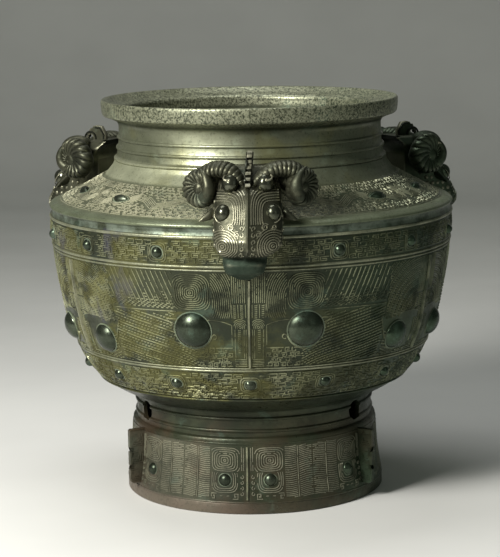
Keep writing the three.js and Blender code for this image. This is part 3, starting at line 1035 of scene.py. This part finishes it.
def skull():
    """The closed form of the head without its horns, smoothed a little over its height."""
    heights = np.linspace(SKULL[0, 0], SKULL[-1, 0], 104)
    rows = []
    for z in heights:
        side = dense_row(z)
        right = np.column_stack([side[:, 0], -side[:, 1], np.full(len(side), z)])
        left = right[:0:-1] * (-1, 1, 1)
        rows.append(np.vstack([right, left]))
    stack = np.array(rows)
    for _ in range(2):
        stack[1:-1] = (stack[:-2] + 2 * stack[1:-1] + stack[2:]) / 4
    return tube(stack)


class Face:
    """How far out the face is at each place across and up."""

    def __init__(self):
        self.z = np.arange(*FACE_HEIGHTS, FACE_STEP)
        self.x = np.arange(0, FACE_WIDTH, FACE_STEP)
        self.out = np.zeros((len(self.x), len(self.z)))
        for k, z in enumerate(self.z):
            side = skull_row(z)
            widest = int(side[:, 0].argmax())
            self.out[:, k] = np.interp(self.x, side[:widest + 1, 0], side[:widest + 1, 1])

    def at(self, x, z):
        """The reach at places across and up, between the points of the grid."""
        fx = np.clip(np.abs(x) / FACE_STEP, 0, len(self.x) - 1.001)
        fz = np.clip((z - self.z[0]) / FACE_STEP, 0, len(self.z) - 1.001)
        i, j = fx.astype(int), fz.astype(int)
        a, b = fx - i, fz - j
        o = self.out
        return ((1 - a) * (1 - b) * o[i, j] + a * (1 - b) * o[i + 1, j]
                + (1 - a) * b * o[i, j + 1] + a * b * o[i + 1, j + 1])

    def placed(self, local):
        """Points (x, z, proud) on the face."""
        x, z, proud = local.T
        size = 1.2
        dx = (self.at(x + size, z) - self.at(x - size, z)) / (2 * size)
        dz = (self.at(x, z + size) - self.at(x, z - size)) / (2 * size)
        n = np.sqrt(1 + dx ** 2 + dz ** 2)
        out = self.at(x, z)
        return np.stack([x - proud * dx / n, -(out + proud / n), z - proud * dz / n], -1)


def face_lines():
    """The thin lines of one side of the face: rings on the nostril and nested lines round the eye."""
    nostril = rings(29.5, 367)
    eye = rings(30, 403, 3.4, 0.92)

    def on_muzzle(x, z):
        return (x > 11) & (x < 0.97 * skull_sizes(z)[1]) & (z > 354.5) & (z < 386)

    def round_eye(x, z):
        return (x > 3.2) & (x < 0.95 * skull_sizes(z)[1]) & (z > 391) & (z < 429) & (eye(x, z) > 12.6)

    lines = iso_lines(nostril, on_muzzle, 1.8, 21, 2.7, (9, 40, 354, 386), 0.7)
    lines += iso_lines(eye, round_eye, 14.4, 40, 2.8, (3, 42, 391, 429), 0.7)
    lines += [spiral(20.5, 388.4, 4.2, 1.5, 0.6), spiral(12.6, 381, 3.6, 1.3, 2.0, -1),
              spiral(31, 388.2, 3.0, 1.3, 3.4)]
    for number, z in enumerate((357.5, 365, 372.5, 380, 387.5)):
        lines.append(spiral(7.2, z, 2.9, 0.9, 1.8 if number % 2 else 4.2, 1 if number % 2 else -1))
    lines.append(np.array([(3.0, 356), (3.0, 390)]))
    lines += [np.array([(x, 429), (x - 1.5, 437), (x - 4, 445)]) for x in (32.4, 35.1, 37.6)]
    return lines


def ellipsoid(centre, radii, turn=(0, 0, 0), rows=20, around=36):
    """A closed ellipsoid about (x, out, z), turned by angles about X, Y and Z."""
    lift = np.linspace(-0.5 * math.pi * 0.985, 0.5 * math.pi * 0.985, rows)[:, None]
    angle = full_turn(around)[None]
    stack = np.stack([radii[0] * np.cos(lift) * np.cos(angle), radii[1] * np.cos(lift) * np.sin(angle),
                      radii[2] * np.sin(lift) + 0 * angle], -1)
    basis = np.array(Matrix.Rotation(turn[2], 3, "Z") @ Matrix.Rotation(turn[1], 3, "Y")
                     @ Matrix.Rotation(turn[0], 3, "X"))
    return tube(stack @ basis.T + (centre[0], -centre[1], centre[2]))


def swept(centres, first, second, wide, deep, around=40):
    """A closed bar along a path: each section is an ellipse on two directions."""
    angle = full_turn(around)
    c, s = np.cos(angle)[None, :, None], np.sin(angle)[None, :, None]
    wide, deep = (np.asarray(k)[:, None, None] for k in (wide, deep))
    return tube(centres[:, None] + c * wide * first[:, None] + s * deep * second[:, None])


def ribbing(distance, step, depth, sharp):
    """How much a ribbed surface draws in: round ribs with narrow grooves between them."""
    return 1 - depth * (1 - np.abs(np.sin(math.pi * distance / step)) ** sharp)


def arch(side, name):
    """The ribbed part of the horn that rises from the brow and bends out over the coil."""
    path = smooth_line(ARCH_PATH, 24)
    path[:, 0] = path[:, 0] * side + COIL[name]["shift"] * np.linspace(0, 1, len(path))
    run = np.gradient(path, axis=0)
    run /= np.linalg.norm(run, axis=1)[:, None]
    forward = np.tile((0.0, -1.0, 0.0), (len(path), 1))
    first = np.cross(run, forward)
    first /= np.linalg.norm(first, axis=1)[:, None]
    second = np.cross(first, run)
    at = np.concatenate([[0], np.cumsum(np.linalg.norm(np.diff(path, axis=0), axis=1))])
    share = at / at[-1]
    size = np.interp(share, ARCH_SHARES, ARCH_SIZES)
    deep = np.interp(share, ARCH_SHARES, ARCH_DEPTHS)
    path[:, 1] += deep - size - 1
    rib = ribbing(at, **ARCH_RIBS)
    return swept(path, first, second, size * rib, deep * rib)


def coil_frame(side, name):
    """The coil's centre, with the directions towards the face, up and out of its disc."""
    coil, lean = COIL[name], COIL_LEAN[name][side]
    centre = np.array([side * coil["x"] + coil["shift"], -coil["out"], coil["z"]])
    inward = np.array([-side * math.cos(lean), -math.sin(lean), 0.0])
    facing = np.array([side * math.sin(lean), -math.cos(lean), 0.0])
    return centre, inward, np.array([0.0, 0.0, 1.0]), facing


def shell(side, name):
    """The coil's rounded disc, with ribs that swirl out from its hub."""
    centre, inward, up, facing = coil_frame(side, name)
    back, top = COIL[name]["back"], COIL[name]["top"]
    profile = smooth_line(SHELL_PROFILE, 4)
    angle = full_turn(240)
    turn = np.degrees(angle)
    sizes = (20, (21.2 + top) / 2, top, (top + back) / 2, back, (24.6 + back) / 2, 24.8, 23.8, 20)
    reach = np.interp(turn, (0, 60, 90, 135, 180, 225, 260, 300, 360), sizes)
    radial = inward * np.cos(angle)[:, None] + up * np.sin(angle)[:, None]
    rows = []
    for share, ahead in profile:
        groove = 1 - np.abs(np.sin(math.pi * (turn + 34 * (1 - share)) / 20)) ** 0.42
        depth = np.clip((share - 0.2) / 0.3, 0, 1)
        out = reach * share * (1 - 0.07 * depth * groove)
        rows.append(centre + radial * out[:, None] + facing * (ahead - 3.2 * depth * groove)[:, None])
    return tube(np.array(rows))


def coil_bar(side, name, degrees, ring_radius, wide, deep, ahead):
    """A bar that winds about the coil's centre; tables are over the turn in degrees."""
    centre, inward, up, facing = coil_frame(side, name)
    turn = np.linspace(degrees[0], degrees[-1], 90)
    sizes = [np.interp(turn, degrees, table) for table in (ring_radius, wide, deep, ahead)]
    angle = np.radians(turn)[:, None]
    radial = inward * np.cos(angle) + up * np.sin(angle)
    centres = centre + radial * sizes[0][:, None] + facing * sizes[3][:, None]
    return swept(centres, radial, np.tile(facing, (len(turn), 1)), sizes[1], sizes[2])


def horn(side, name):
    """One horn: its arch, the shell-like coil with ribs that spread from a hub, its tip and its root."""
    tip = coil_bar(side, name, degrees=(268, 300, 335, 370, 405, 438, 462),
                   ring_radius=(12, 13.4, 15, 15.8, 17.2, 20.6, 24.4), wide=(7, 8.6, 8.0, 7.0, 5.4, 3.0, 0.5),
                   deep=(6, 9, 9, 8.2, 6.4, 3.6, 0.6), ahead=(-1, 1.5, 3.5, 5, 5, 4.4, 3))
    root = ellipsoid((side * 47 + COIL[name]["shift"], 243, 438), (17, 13, 15))
    return [arch(side, name), shell(side, name), tip, root]


def leaf_ear(side):
    """The small pointed ear that stands out under the coil."""
    path = smooth_line([(36, -266, 404), (44, -270, 401), (52, -273, 397), (59, -275, 393)], 10)
    path[:, 0] *= side
    count = len(path)
    t = np.linspace(0, 1, count)
    first = np.tile((0.0, 0.35, 0.94), (count, 1))
    second = np.tile((side * 0.3, -0.95, 0.1), (count, 1))
    wide = np.interp(t, (0, 0.35, 0.8, 1), (6, 7, 3.4, 0.4))
    return swept(path, first, second, wide, 0.55 * wide + 0.2, 24)


def hoop(centre, radius, thick, lean, count=28):
    """A small ring that leans back with the face."""
    angle = full_turn(count)
    c, s = math.cos(lean), math.sin(lean)
    rows = []
    for a in full_turn(HOOP_SIDES):
        grow, rise = 1 + thick / radius[0] * math.cos(a), thick * math.sin(a)
        x, v = radius[0] * np.cos(angle) * grow, radius[1] * np.sin(angle) * grow
        out = -centre[1] - rise * c + v * s
        rows.append(np.stack([centre[0] + x, out, centre[2] + v * c + rise * s], -1))
    return Skin(np.array(rows).transpose(1, 0, 2), closed_quads(count, HOOP_SIDES)).faced_out()


def crest():
    """The notched crest from the brow up towards the neck, pierced, with curls on each side."""
    notches, front = 6, []
    for k in range(notches):
        for share, back in ((0.04, 0), (0.52, 0), (0.58, -3.2), (0.98, -3.2)):
            t = (k + share) / notches
            front.append((280.5 - 27 * t ** 0.8 + back, 434 + 39 * t))
    outline = np.array([(236, 428), (254, 427), (270, 430), *front, (246, 474), (237, 473), (230, 462),
                        (231, 444)])
    hole = np.array([255, 456])
    away = outline - hole
    aim = away / np.hypot(*away.T)[:, None]
    inner, near = hole + 5.6 * aim, hole + 7.2 * aim
    flat, edge = outline - away * 0.12, outline - away * 0.02
    half, bevel = 3.2, 0.6
    sections = ((near, -half), (flat, -half), (edge, -half), (outline, bevel - half), (outline, half - bevel),
                (edge, half), (flat, half), (near, half), (inner, half), (inner, -half))
    points = np.array([across_x(ring, x) for ring, x in sections])
    angles = np.linspace(-0.6, 4.9, 30)
    lines = [arc(hole, 9, angles), arc((272, 440), 3.2, angles),
             np.array([(233, 446), (232.5, 461), (238.5, 470.5), (247, 471)]),
             np.array([(242, 434), (262, 433.5), (262, 440)])]
    return [Skin(points, closed_quads(*points.shape[:2])).faced_out(),
            *on_both_sides(half, *ribbons(lines, base=1.5, top=0.8, proud=1.3))]


def side_studs(side):
    """Small round studs down the side of the face."""
    skins = []
    for row, z in enumerate((415, 407, 399, 391, 383, 375, 367)):
        reach, half, _ = skull_sizes(z)
        for k in range(4):
            centre = (side * (half - 0.6 - 0.5 * k), reach - 26 - 7.8 * k - 3.4 * (row % 2), z)
            skins.append(ellipsoid(centre, (2.8, 3.2, 3.2), rows=8, around=12))
    return skins


def oval(place, side, turn, rows=20, around=36):
    """An eye or a brow oval on one side of the face."""
    centre = (side * place["x"], place["out"], place["z"])
    return ellipsoid(centre, (place["width"], place["depth"], place["height"]), turn, rows, around)


def ram_head(name, face, lines):
    """One head as three skins: the cast form, the thin lines on its face, and its eyes."""
    skins, fine, round_parts = [skull(), *crest()], [], []
    points, quads = ribbons(lines, base=0.74, top=0.4, proud=1.1)
    for side in (-1, 1):
        placed = face.placed(points) * (side, 1, 1)
        fine.append(Skin(placed, flipped(quads, side > 0)))
        skins += [*horn(side, name), leaf_ear(side), *side_studs(side)]
        round_parts.append(oval(EYE, side, (-FACE_LEAN * 0.9, 0, 0), 26, 44))
        fine.append(hoop((side * EYE["x"], EYE["out"] + 2.4, EYE["z"]), (10.4, 12.4), 0.6, FACE_LEAN))
        round_parts.append(oval(BROW, side, (-FACE_LEAN, 0, -side * 0.25)))
        centre = (side * (BROW["x"] + 3.4), BROW["out"] + 6.6, BROW["z"] + 7.6)
        fine.append(hoop(centre, (4.6, 5.0), 1.2, math.radians(52), 26))
        centre = (side * (BROW["x"] + 1.2), BROW["out"] + 9.8, BROW["z"] + 4.4)
        fine.append(ellipsoid(centre, (2.2, 2.2, 2.2), rows=10, around=16))
    return [settled(joined(part), name) for part in (skins, fine, round_parts)]


def settled(skin, name):
    """A head's skin with its slight sway, kept off the inside of the wall and turned to its place."""
    points = skin.points.copy()
    sway = np.interp(points[:, 2], *HEAD_SWAY_BY_HEIGHT)
    points[:, 0] += sway * HEAD_SWAY[name]
    seat = wall_radius(points[:, 2]) - ROOT_DEPTH
    away = np.hypot(points[:, 0], points[:, 1])
    inside = (away < seat) & (points[:, 2] < NECK_FOOT)
    points[inside, :2] *= (seat[inside] / away[inside])[:, None]
    return Skin(turned(points, HEAD_ANGLES[name]), skin.quads, skin.triangles)


# Materials

class Shader:
    """A node material with short calls for the nodes that it is made of."""

    def __init__(self, name):
        self.material = bpy.data.materials.new(name)
        self.material.use_nodes = True
        self.tree = self.material.node_tree
        self.surface = self.tree.nodes["Principled BSDF"]
        self.coordinates = self.new("ShaderNodeTexCoord").outputs["Object"]
        split = self.new("ShaderNodeSeparateXYZ")
        self.link(self.coordinates, split.inputs[0])
        self.x, self.y, self.z = split.outputs

    def new(self, kind):
        return self.tree.nodes.new(kind)

    def link(self, source, target):
        self.tree.links.new(source, target)

    def put(self, socket, value):
        """Links a socket to another, or sets it to a number or colour."""
        if isinstance(value, bpy.types.NodeSocket):
            self.link(value, socket)
        elif isinstance(value, tuple):
            socket.default_value = (*value, 1) if len(value) == 3 else value
        else:
            socket.default_value = value

    def noise(self, scale, detail, rough, stretch=(1, 1, 1), shift=(0, 0, 0)):
        """Noise in the vessel's own space, stretched and shifted."""
        place = self.new("ShaderNodeMapping")
        self.link(self.coordinates, place.inputs["Vector"])
        place.inputs["Scale"].default_value = stretch
        place.inputs["Location"].default_value = shift
        node = self.new("ShaderNodeTexNoise")
        self.link(place.outputs[0], node.inputs["Vector"])
        node.inputs["Scale"].default_value = scale
        node.inputs["Detail"].default_value = detail
        node.inputs["Roughness"].default_value = rough
        return node.outputs["Fac"]

    def between(self, value, low, high, to_low=0.0, to_high=1.0):
        """A value's smooth way from to_low to to_high, as it goes from low to high."""
        node = self.new("ShaderNodeMapRange")
        node.interpolation_type = "SMOOTHSTEP"
        self.put(node.inputs["Value"], value)
        for label, number in (("From Min", low), ("From Max", high), ("To Min", to_low), ("To Max", to_high)):
            node.inputs[label].default_value = number
        return node.outputs["Result"]

    def math(self, kind, a, b=0.0):
        node = self.new("ShaderNodeMath")
        node.operation = kind
        self.put(node.inputs[0], a)
        self.put(node.inputs[1], b)
        return node.outputs[0]

    def window(self, low, high, soft):
        """One between two heights and nothing outside them."""
        return self.times(self.between(self.z, low - soft, low), self.between(self.z, high + soft, high))

    def times(self, *values):
        total = values[0]
        for value in values[1:]:
            total = self.math("MULTIPLY", total, value)
        return total

    def mix(self, share, a, b):
        node = self.new("ShaderNodeMix")
        node.data_type = "RGBA"
        self.put(node.inputs["Factor"], share)
        self.put(node.inputs["A"], a)
        self.put(node.inputs["B"], b)
        return node.outputs["Result"]

    def stain(self, colour, tint, *shares):
        """The colour, with a tint over it as strong as the shares multiplied."""
        return self.mix(self.times(*shares), colour, tint)

    def bump(self, height, strength, distance, before=None):
        node = self.new("ShaderNodeBump")
        self.put(node.inputs["Height"], height)
        node.inputs["Strength"].default_value = strength
        node.inputs["Distance"].default_value = distance
        if before is not None:
            self.link(before, node.inputs["Normal"])
        return node.outputs[0]


DARK = (0.018, 0.022, 0.014)
PALE_PATINA_AND_HIGHLIGHT = (0.36, 0.375, 0.255)
OCHRE = (0.140, 0.132, 0.032)
RUST = (0.085, 0.050, 0.030)
PINK = (0.200, 0.150, 0.118)
VERDIGRIS = (0.115, 0.185, 0.140)
BLUE = (0.085, 0.085, 0.125)
GREEN_PATINA_AND_SHADE = (0.022, 0.052, 0.028)
BRIGHT = (0.33, 0.32, 0.23)
HOLLOW = (0.008, 0.010, 0.007)
RECESS = (0.20, 0.24, 0.19)
SHOULDER_EDGE = (0.21, 0.24, 0.15)
WORN_RING = (0.30, 0.31, 0.21)
SHOULDER = (0.150, 0.160, 0.100)
FOOT_PAINTED_LIGHT = (0.150, 0.142, 0.104)
CHIN = (0.030, 0.052, 0.037)
WORN_RINGS = ((0.3690, 0.3722), (0.3332, 0.3360), (0.3292, 0.3308), (0.2029, 0.2042), (0.1993, 0.2014))

# Each bronze's two colours, then its ochre, verdigris, metal, roughness, wear, grain and blotches
BRONZES = {
    "wall_bronze": ((0.020, 0.026, 0.014), (0.046, 0.053, 0.029), 0.5, 0.25, 0.62, 0.38, 0, 1, 0.4),
    "line_bronze": ((0.175, 0.186, 0.110), (0.31, 0.318, 0.198), 0.55, 0.25, 0.6, 0.38, 0, 0.5, 0.8),
    "ridge_bronze": ((0.19, 0.195, 0.125), (0.30, 0.30, 0.20), 0, 0.2, 0.6, 0.38, 0, 0.5, 0.6),
    "dull_line": ((0.29, 0.29, 0.195), (0.43, 0.42, 0.295), 0.1, 0.2, 0.5, 0.46, 0, 0.5, 0.4),
    "foot_line": ((0.165, 0.162, 0.114), (0.26, 0.25, 0.18), 0, 0.25, 0.5, 0.44, 0, 0.5, 0.4),
    "boss_bronze": ((0.036, 0.047, 0.032), (0.072, 0.085, 0.060), 0, 0.25, 0.85, 0.25, 0, 0.7, 0.3),
    "eye_bronze": ((0.060, 0.064, 0.045), (0.100, 0.104, 0.075), 0, 0.05, 0.9, 0.20, 0, 0.4, 0.2),
    "rim_bronze": ((0.13, 0.16, 0.11), (0.20, 0.235, 0.155), 0, 0.6, 0.5, 0.45, 0, 1, 0.4),
    "head_bronze": ((0.040, 0.042, 0.027), (0.082, 0.082, 0.054), 0, 0.12, 0.82, 0.43, 0.5, 0.5, 0.45),
    "face_line": ((0.21, 0.208, 0.145), (0.31, 0.30, 0.215), 0, 0.1, 0.75, 0.30, 0, 0.4, 0.35),
}


def belly_earth(s, colour, left, ochre):
    """Ochre earth on the left and low on the belly, and bluish stains at the far left."""
    belly = s.window(0.158, 0.372, 0.006)
    patch = s.between(s.noise(15, 6, 0.66, (1, 1, 1.7), (2, 8, 5)), 0.44, 0.56)
    low_left = s.times(s.between(s.z, 0.215, 0.196), s.between(s.x, 0.10, 0.0, 0.25, 1.0))
    side = s.math("MAXIMUM", s.between(left, 0, 1, 0.30, 0.9), low_left)
    brow = s.times(s.window(0.279, 0.329, 0.004), s.between(s.x, -0.165, -0.12))
    side = s.times(side, s.between(brow, 0, 1, 1.0, 0.12))
    colour = s.stain(colour, OCHRE, patch, belly, side, ochre)
    blue = s.between(s.noise(19, 4, 0.6, (1, 1, 0.5), (6, 2, 9)), 0.54, 0.66)
    zone = s.times(s.between(s.x, -0.10, -0.19), s.between(s.z, 0.235, 0.262), belly)
    return s.stain(colour, BLUE, blue, zone, 0.6)


def wall_stains(s, colour, left, middle):
    """The wall's own areas: reddish foot, painted light on the foot's left, pale neck of patina with a
    painted highlight, worn rings, shoulder and speckled lip.
    """
    reddish = s.between(s.noise(15, 4, 0.6, shift=(4, 4, 1)), 0.42, 0.60)
    colour = s.stain(colour, RUST, s.between(s.z, 0.135, 0.095), reddish, s.between(left, 0, 1, 0.3, 0.6))
    colour = s.stain(colour, PINK, s.between(s.z, 0.018, 0.013), s.between(left, 0, 1, 0.12, 0.8))
    neck = s.window(0.424, 0.488, 0.006)
    stain = s.between(s.noise(14, 3, 0.5, shift=(1, 5, 3)), 0.54, 0.66)
    # Pale neck: green patina on the lower neck, most on the left, and a painted highlight on the upper neck
    # just left of the middle, on the lamp side.
    high = s.math("MAXIMUM", s.between(s.z, 0.452, 0.442), s.between(s.x, -0.13, -0.06, 0.3, 0.85))
    colour = s.stain(colour, PALE_PATINA_AND_HIGHLIGHT, neck, high, s.between(left, 0, 1, 0.3, 0.92))
    colour = s.stain(colour, OCHRE, neck, stain, 0.35)
    recess = s.times(s.window(0.3735, 0.3815, 0.001), s.between(middle, 0.35, 0.6))
    colour = s.stain(colour, RECESS, recess, 0.6)
    colour = s.stain(colour, SHOULDER_EDGE, s.window(0.383, 0.391, 0.001), 0.55)
    uneven = s.between(middle, 0.7, 0.35, 0.35, 0.85)
    for low, high in WORN_RINGS:
        colour = s.stain(colour, WORN_RING, s.window(low, high, 0.0006), uneven)
    colour = s.stain(colour, SHOULDER, s.window(0.391, 0.4225, 0.002), s.between(left, 0, 1, 0.3, 0.7))
    # Paler, mottled left side of the foot, towards the key lamp: painted light.
    foot_painted_light = s.times(s.window(0.0, 0.0895, 0.001), s.between(s.x, -0.01, -0.11))
    colour = s.stain(colour, FOOT_PAINTED_LIGHT, foot_painted_light, s.between(middle, 0.35, 0.6, 0.6, 0.3))
    lip = s.times(s.between(s.z, 0.492, 0.498), s.between(s.noise(360, 5, 0.8), 0.41, 0.56))
    return s.stain(colour, WORN_RING, lip, 0.85)


def wear(s, colour, worn):
    """Dark hollows and bright worn edges."""
    edge = s.between(s.new("ShaderNodeNewGeometry").outputs["Pointiness"], 0.520, 0.59)
    hollow = s.between(s.new("ShaderNodeNewGeometry").outputs["Pointiness"], 0.492, 0.445)
    colour = s.stain(colour, HOLLOW, hollow, 0.85)
    return s.stain(colour, BRIGHT, edge, worn)


def bronze(name, base, light, ochre, verdigris, metal, rough, worn, fine, blotch):
    """Aged bronze: patches of patina, earth in low places by height and side, green patina with painted shade
    towards the right, and casting grain.
    """
    s = Shader(name)
    broad = s.noise(9, 5, 0.6)
    middle = s.noise(34, 6, 0.62, shift=(3, 1, 7))
    small = s.noise(260, 4, 0.65, shift=(9, 4, 2))
    left = s.between(s.x, 0.10, -0.18)
    right = s.between(s.x, 0.02, 0.20)
    colour = s.mix(s.between(broad, 0.36, 0.64), base, light)
    colour = s.stain(colour, DARK, s.between(middle, 0.47, 0.60), blotch)
    if ochre:
        colour = belly_earth(s, colour, left, ochre)
    # Dark green towards the right side, away from the key lamp: green patina and painted shade.
    colour = s.stain(colour, GREEN_PATINA_AND_SHADE, right, s.between(broad, 0.3, 0.6, 0.2, 0.6))
    green = s.between(s.noise(26, 6, 0.7, shift=(7, 7, 7)), 0.56, 0.66)
    colour = s.stain(colour, VERDIGRIS, green, verdigris)
    if name == "wall_bronze":
        colour = wall_stains(s, colour, left, middle)
    if worn:
        chin = s.times(s.between(s.z, 0.3535, 0.3505), s.window(0.30, 0.36, 0.001))
        colour = s.stain(colour, CHIN, chin, 0.75)
    colour = s.stain(colour, DARK, s.between(small, 0.52, 0.68), 0.4)
    roughness = s.math("ADD", s.between(middle, 0.3, 0.7, rough - 0.09, rough + 0.13),
                       s.between(small, 0.35, 0.7, -0.05, 0.09))
    roughness = s.math("ADD", roughness, s.times(green, 0.12))
    if worn:
        colour = wear(s, colour, worn)
        roughness = s.math("ADD", roughness, s.between(s.z, 0.354, 0.350, 0.0, 0.22))
    s.link(colour, s.surface.inputs["Base Color"])
    s.surface.inputs["Metallic"].default_value = metal
    s.link(roughness, s.surface.inputs["Roughness"])
    pitted = s.bump(small, 0.22 * fine, 0.0006)
    uneven = s.bump(middle, 0.20 * fine, 0.0022, pitted)
    s.link(uneven, s.surface.inputs["Normal"])
    return s.material


bronzes = {name: bronze(name, *row) for name, row in BRONZES.items()}


# The vessel's pieces

def both(azimuth):
    """The places of the two halves of a pattern."""
    return [(azimuth, False), (azimuth, True)]


def band_relief(strip, band):
    """The relief of a narrow band, drawn anew between each two of its bosses."""
    azimuths = sorted(boss_azimuths(band["step"]))
    skins = []
    for number, azimuth in enumerate(azimuths):
        following = azimuths[(number + 1) % BOSSES_AROUND] + (360 if number == BOSSES_AROUND - 1 else 0)
        span = math.radians(following - azimuth) * strip.radius
        lines = band_lines(strip, span, strip.at(band["height"]), draw, (0.0, span))
        skins.append(relief(strip, lines, [(azimuth, False)], 60 + number))
    return joined(skins)


wall_bronze, line_bronze = bronzes["wall_bronze"], bronzes["line_bronze"]
body = piece("body", body_skin(), wall_bronze, replaced=("vessel",), sharp=42)
cut_foot_holes(body, wall_bronze)

draw = np.random.default_rng(20)
ram_mask = Mask(RAM_EYES, lift=0, reach=42).lines(draw)
side_mask = Mask(SIDE_EYES, lift=-8, reach=18).lines(draw)
for number, joint in enumerate(JOINTS):
    pattern = side_mask if number % 2 else ram_mask
    piece(f"belly_relief_{joint}", relief(BELLY_STRIP, pattern, both(joint), 30 + number), line_bronze)
piece("upper_band_relief", band_relief(UPPER_STRIP, UPPER_BOSSES), line_bronze)
piece("lower_band_relief", band_relief(LOWER_STRIP, LOWER_BOSSES), line_bronze)

dragon = dragon_lines(draw)
places = [place for middle in GAPS_BETWEEN_HEADS for place in both(middle)]
piece("shoulder_relief", relief(SHOULDER_STRIP, dragon, places, 90, base=0.56, top=0.3, proud=0.7),
      bronzes["dull_line"])
foot_mask = foot_lines(draw)
places = [place for joint in JOINTS for place in both(joint + FOOT_TURN)]
piece("foot_relief", relief(FOOT_STRIP, foot_mask, places, 120, proud=0.9), bronzes["foot_line"])
piece("ridges", ridges(), bronzes["ridge_bronze"])
flanges = [skin for joint in GAPS_BETWEEN_HEADS for skin in flange(joint + FOOT_TURN)]
piece("foot_flanges", joined(flanges), wall_bronze)
eyes, studs, rims = bosses()
piece("mask_eyes", eyes, bronzes["boss_bronze"], sharp=60)
piece("studs", studs, bronzes["boss_bronze"], sharp=60)
piece("boss_rims", rims, bronzes["rim_bronze"])

face, lines_of_face = Face(), face_lines()
for name in HEAD_ANGLES:
    cast, fine, round_parts = ram_head(name, face, lines_of_face)
    piece(f"{name}_cast", cast, bronzes["head_bronze"], sharp=50, replaced=(name,))
    piece(f"{name}_lines", fine, bronzes["face_line"])
    piece(f"{name}_eyes", round_parts, bronzes["eye_bronze"], sharp=60)


# Floor, light and camera

def plain(name, colour, rough):
    """A matt paint with faint broad patches."""
    s = Shader(name)
    shade = s.noise(3, 3, 0.5)
    s.link(s.mix(s.between(shade, 0.3, 0.7), colour, tuple(0.94 * c for c in colour)),
           s.surface.inputs["Base Color"])
    s.surface.inputs["Roughness"].default_value = rough
    return s.material


def backdrop():
    """A pale floor that sweeps up behind into a pale wall."""
    angles = np.linspace(0, 0.5 * math.pi, 14)
    curve = [(-6.0, 0.0), *[(3.0 + 1.5 * math.sin(a), 1.5 - 1.5 * math.cos(a)) for a in angles], (4.5, 6.0)]
    points = [(x, y, z) for y, z in curve for x in (-7.0, 7.0)]
    faces = [(2 * k, 2 * k + 1, 2 * k + 3, 2 * k + 2) for k in range(len(curve) - 1)]
    mesh = bpy.data.meshes.new("floor")
    mesh.from_pydata(points, [], faces)
    mesh.polygons.foreach_set("use_smooth", [True] * len(mesh.polygons))
    mesh.materials.append(plain("floor_paint", (0.62, 0.62, 0.60), 0.75))
    floor = bpy.data.objects.new("floor", mesh)
    bpy.context.scene.collection.objects.link(floor)


def lamp(name, place, target, size, power, colour=(1, 1, 1)):
    """A soft area lamp aimed at a target."""
    data = bpy.data.lights.new(name, "AREA")
    data.shape, data.size, data.size_y = "RECTANGLE", size[0], size[1]
    data.energy, data.color = power, colour
    made = bpy.data.objects.new(name, data)
    made.location = place
    made.rotation_mode = "QUATERNION"
    made.rotation_quaternion = (Vector(target) - Vector(place)).to_track_quat("-Z", "Y")
    bpy.context.scene.collection.objects.link(made)


backdrop()
MIDDLE = (0, AXIS_Y, 0.30)
lamp("key", (-1.25, -1.45, 1.45), MIDDLE, (0.6, 0.8), 92, (1.0, 0.98, 0.93))
lamp("top", (-0.2, 0.3, 2.0), MIDDLE, (1.2, 0.8), 14)
lamp("fill", (1.7, -1.4, 0.8), MIDDLE, (0.9, 1.2), 1.2, (0.92, 1.0, 0.94))

world = bpy.data.worlds.new("studio")
world.use_nodes = True
sky = world.node_tree.nodes["Background"]
sky.inputs["Color"].default_value = (0.52, 0.60, 0.52, 1)
sky.inputs["Strength"].default_value = 0.18
bpy.context.scene.world = world
bpy.context.scene.view_settings.view_transform = "Standard"

CAMERA_DISTANCE = 2.700
CAMERA_HEIGHT = 0.7267
CAMERA_AZIMUTH = math.radians(1.0)
CAMERA_PITCH = 0.165
CAMERA_ROLL = -0.016
CAMERA_SIDE_AIM = -0.001
FOCAL_PIXELS = 2049.15
PHOTO_HEIGHT = 557
SENSOR = 36.0


def place_camera():
    """The camera fitted to the photograph, turned a little about the vessel's axis."""
    data = bpy.data.cameras.new("camera")
    data.sensor_width = SENSOR
    data.lens = FOCAL_PIXELS / PHOTO_HEIGHT * SENSOR
    camera = bpy.data.objects.new("camera", data)
    forward = Vector((CAMERA_SIDE_AIM, math.cos(CAMERA_PITCH), -math.sin(CAMERA_PITCH))).normalized()
    right = forward.cross(Vector((0, 0, 1))).normalized()
    up = right.cross(forward)
    across = right * math.cos(CAMERA_ROLL) + up * math.sin(CAMERA_ROLL)
    upward = across.cross(forward)
    turn = Matrix.Rotation(CAMERA_AZIMUTH, 3, "Z")
    columns = [turn @ v for v in (across, upward, -forward)]
    matrix = Matrix(columns).transposed().to_4x4()
    place = turn @ Vector((0, -CAMERA_DISTANCE, CAMERA_HEIGHT))
    matrix.translation = place + Vector((0, AXIS_Y, 0))
    camera.matrix_world = matrix
    bpy.context.scene.collection.objects.link(camera)
    bpy.context.scene.camera = camera


place_camera()
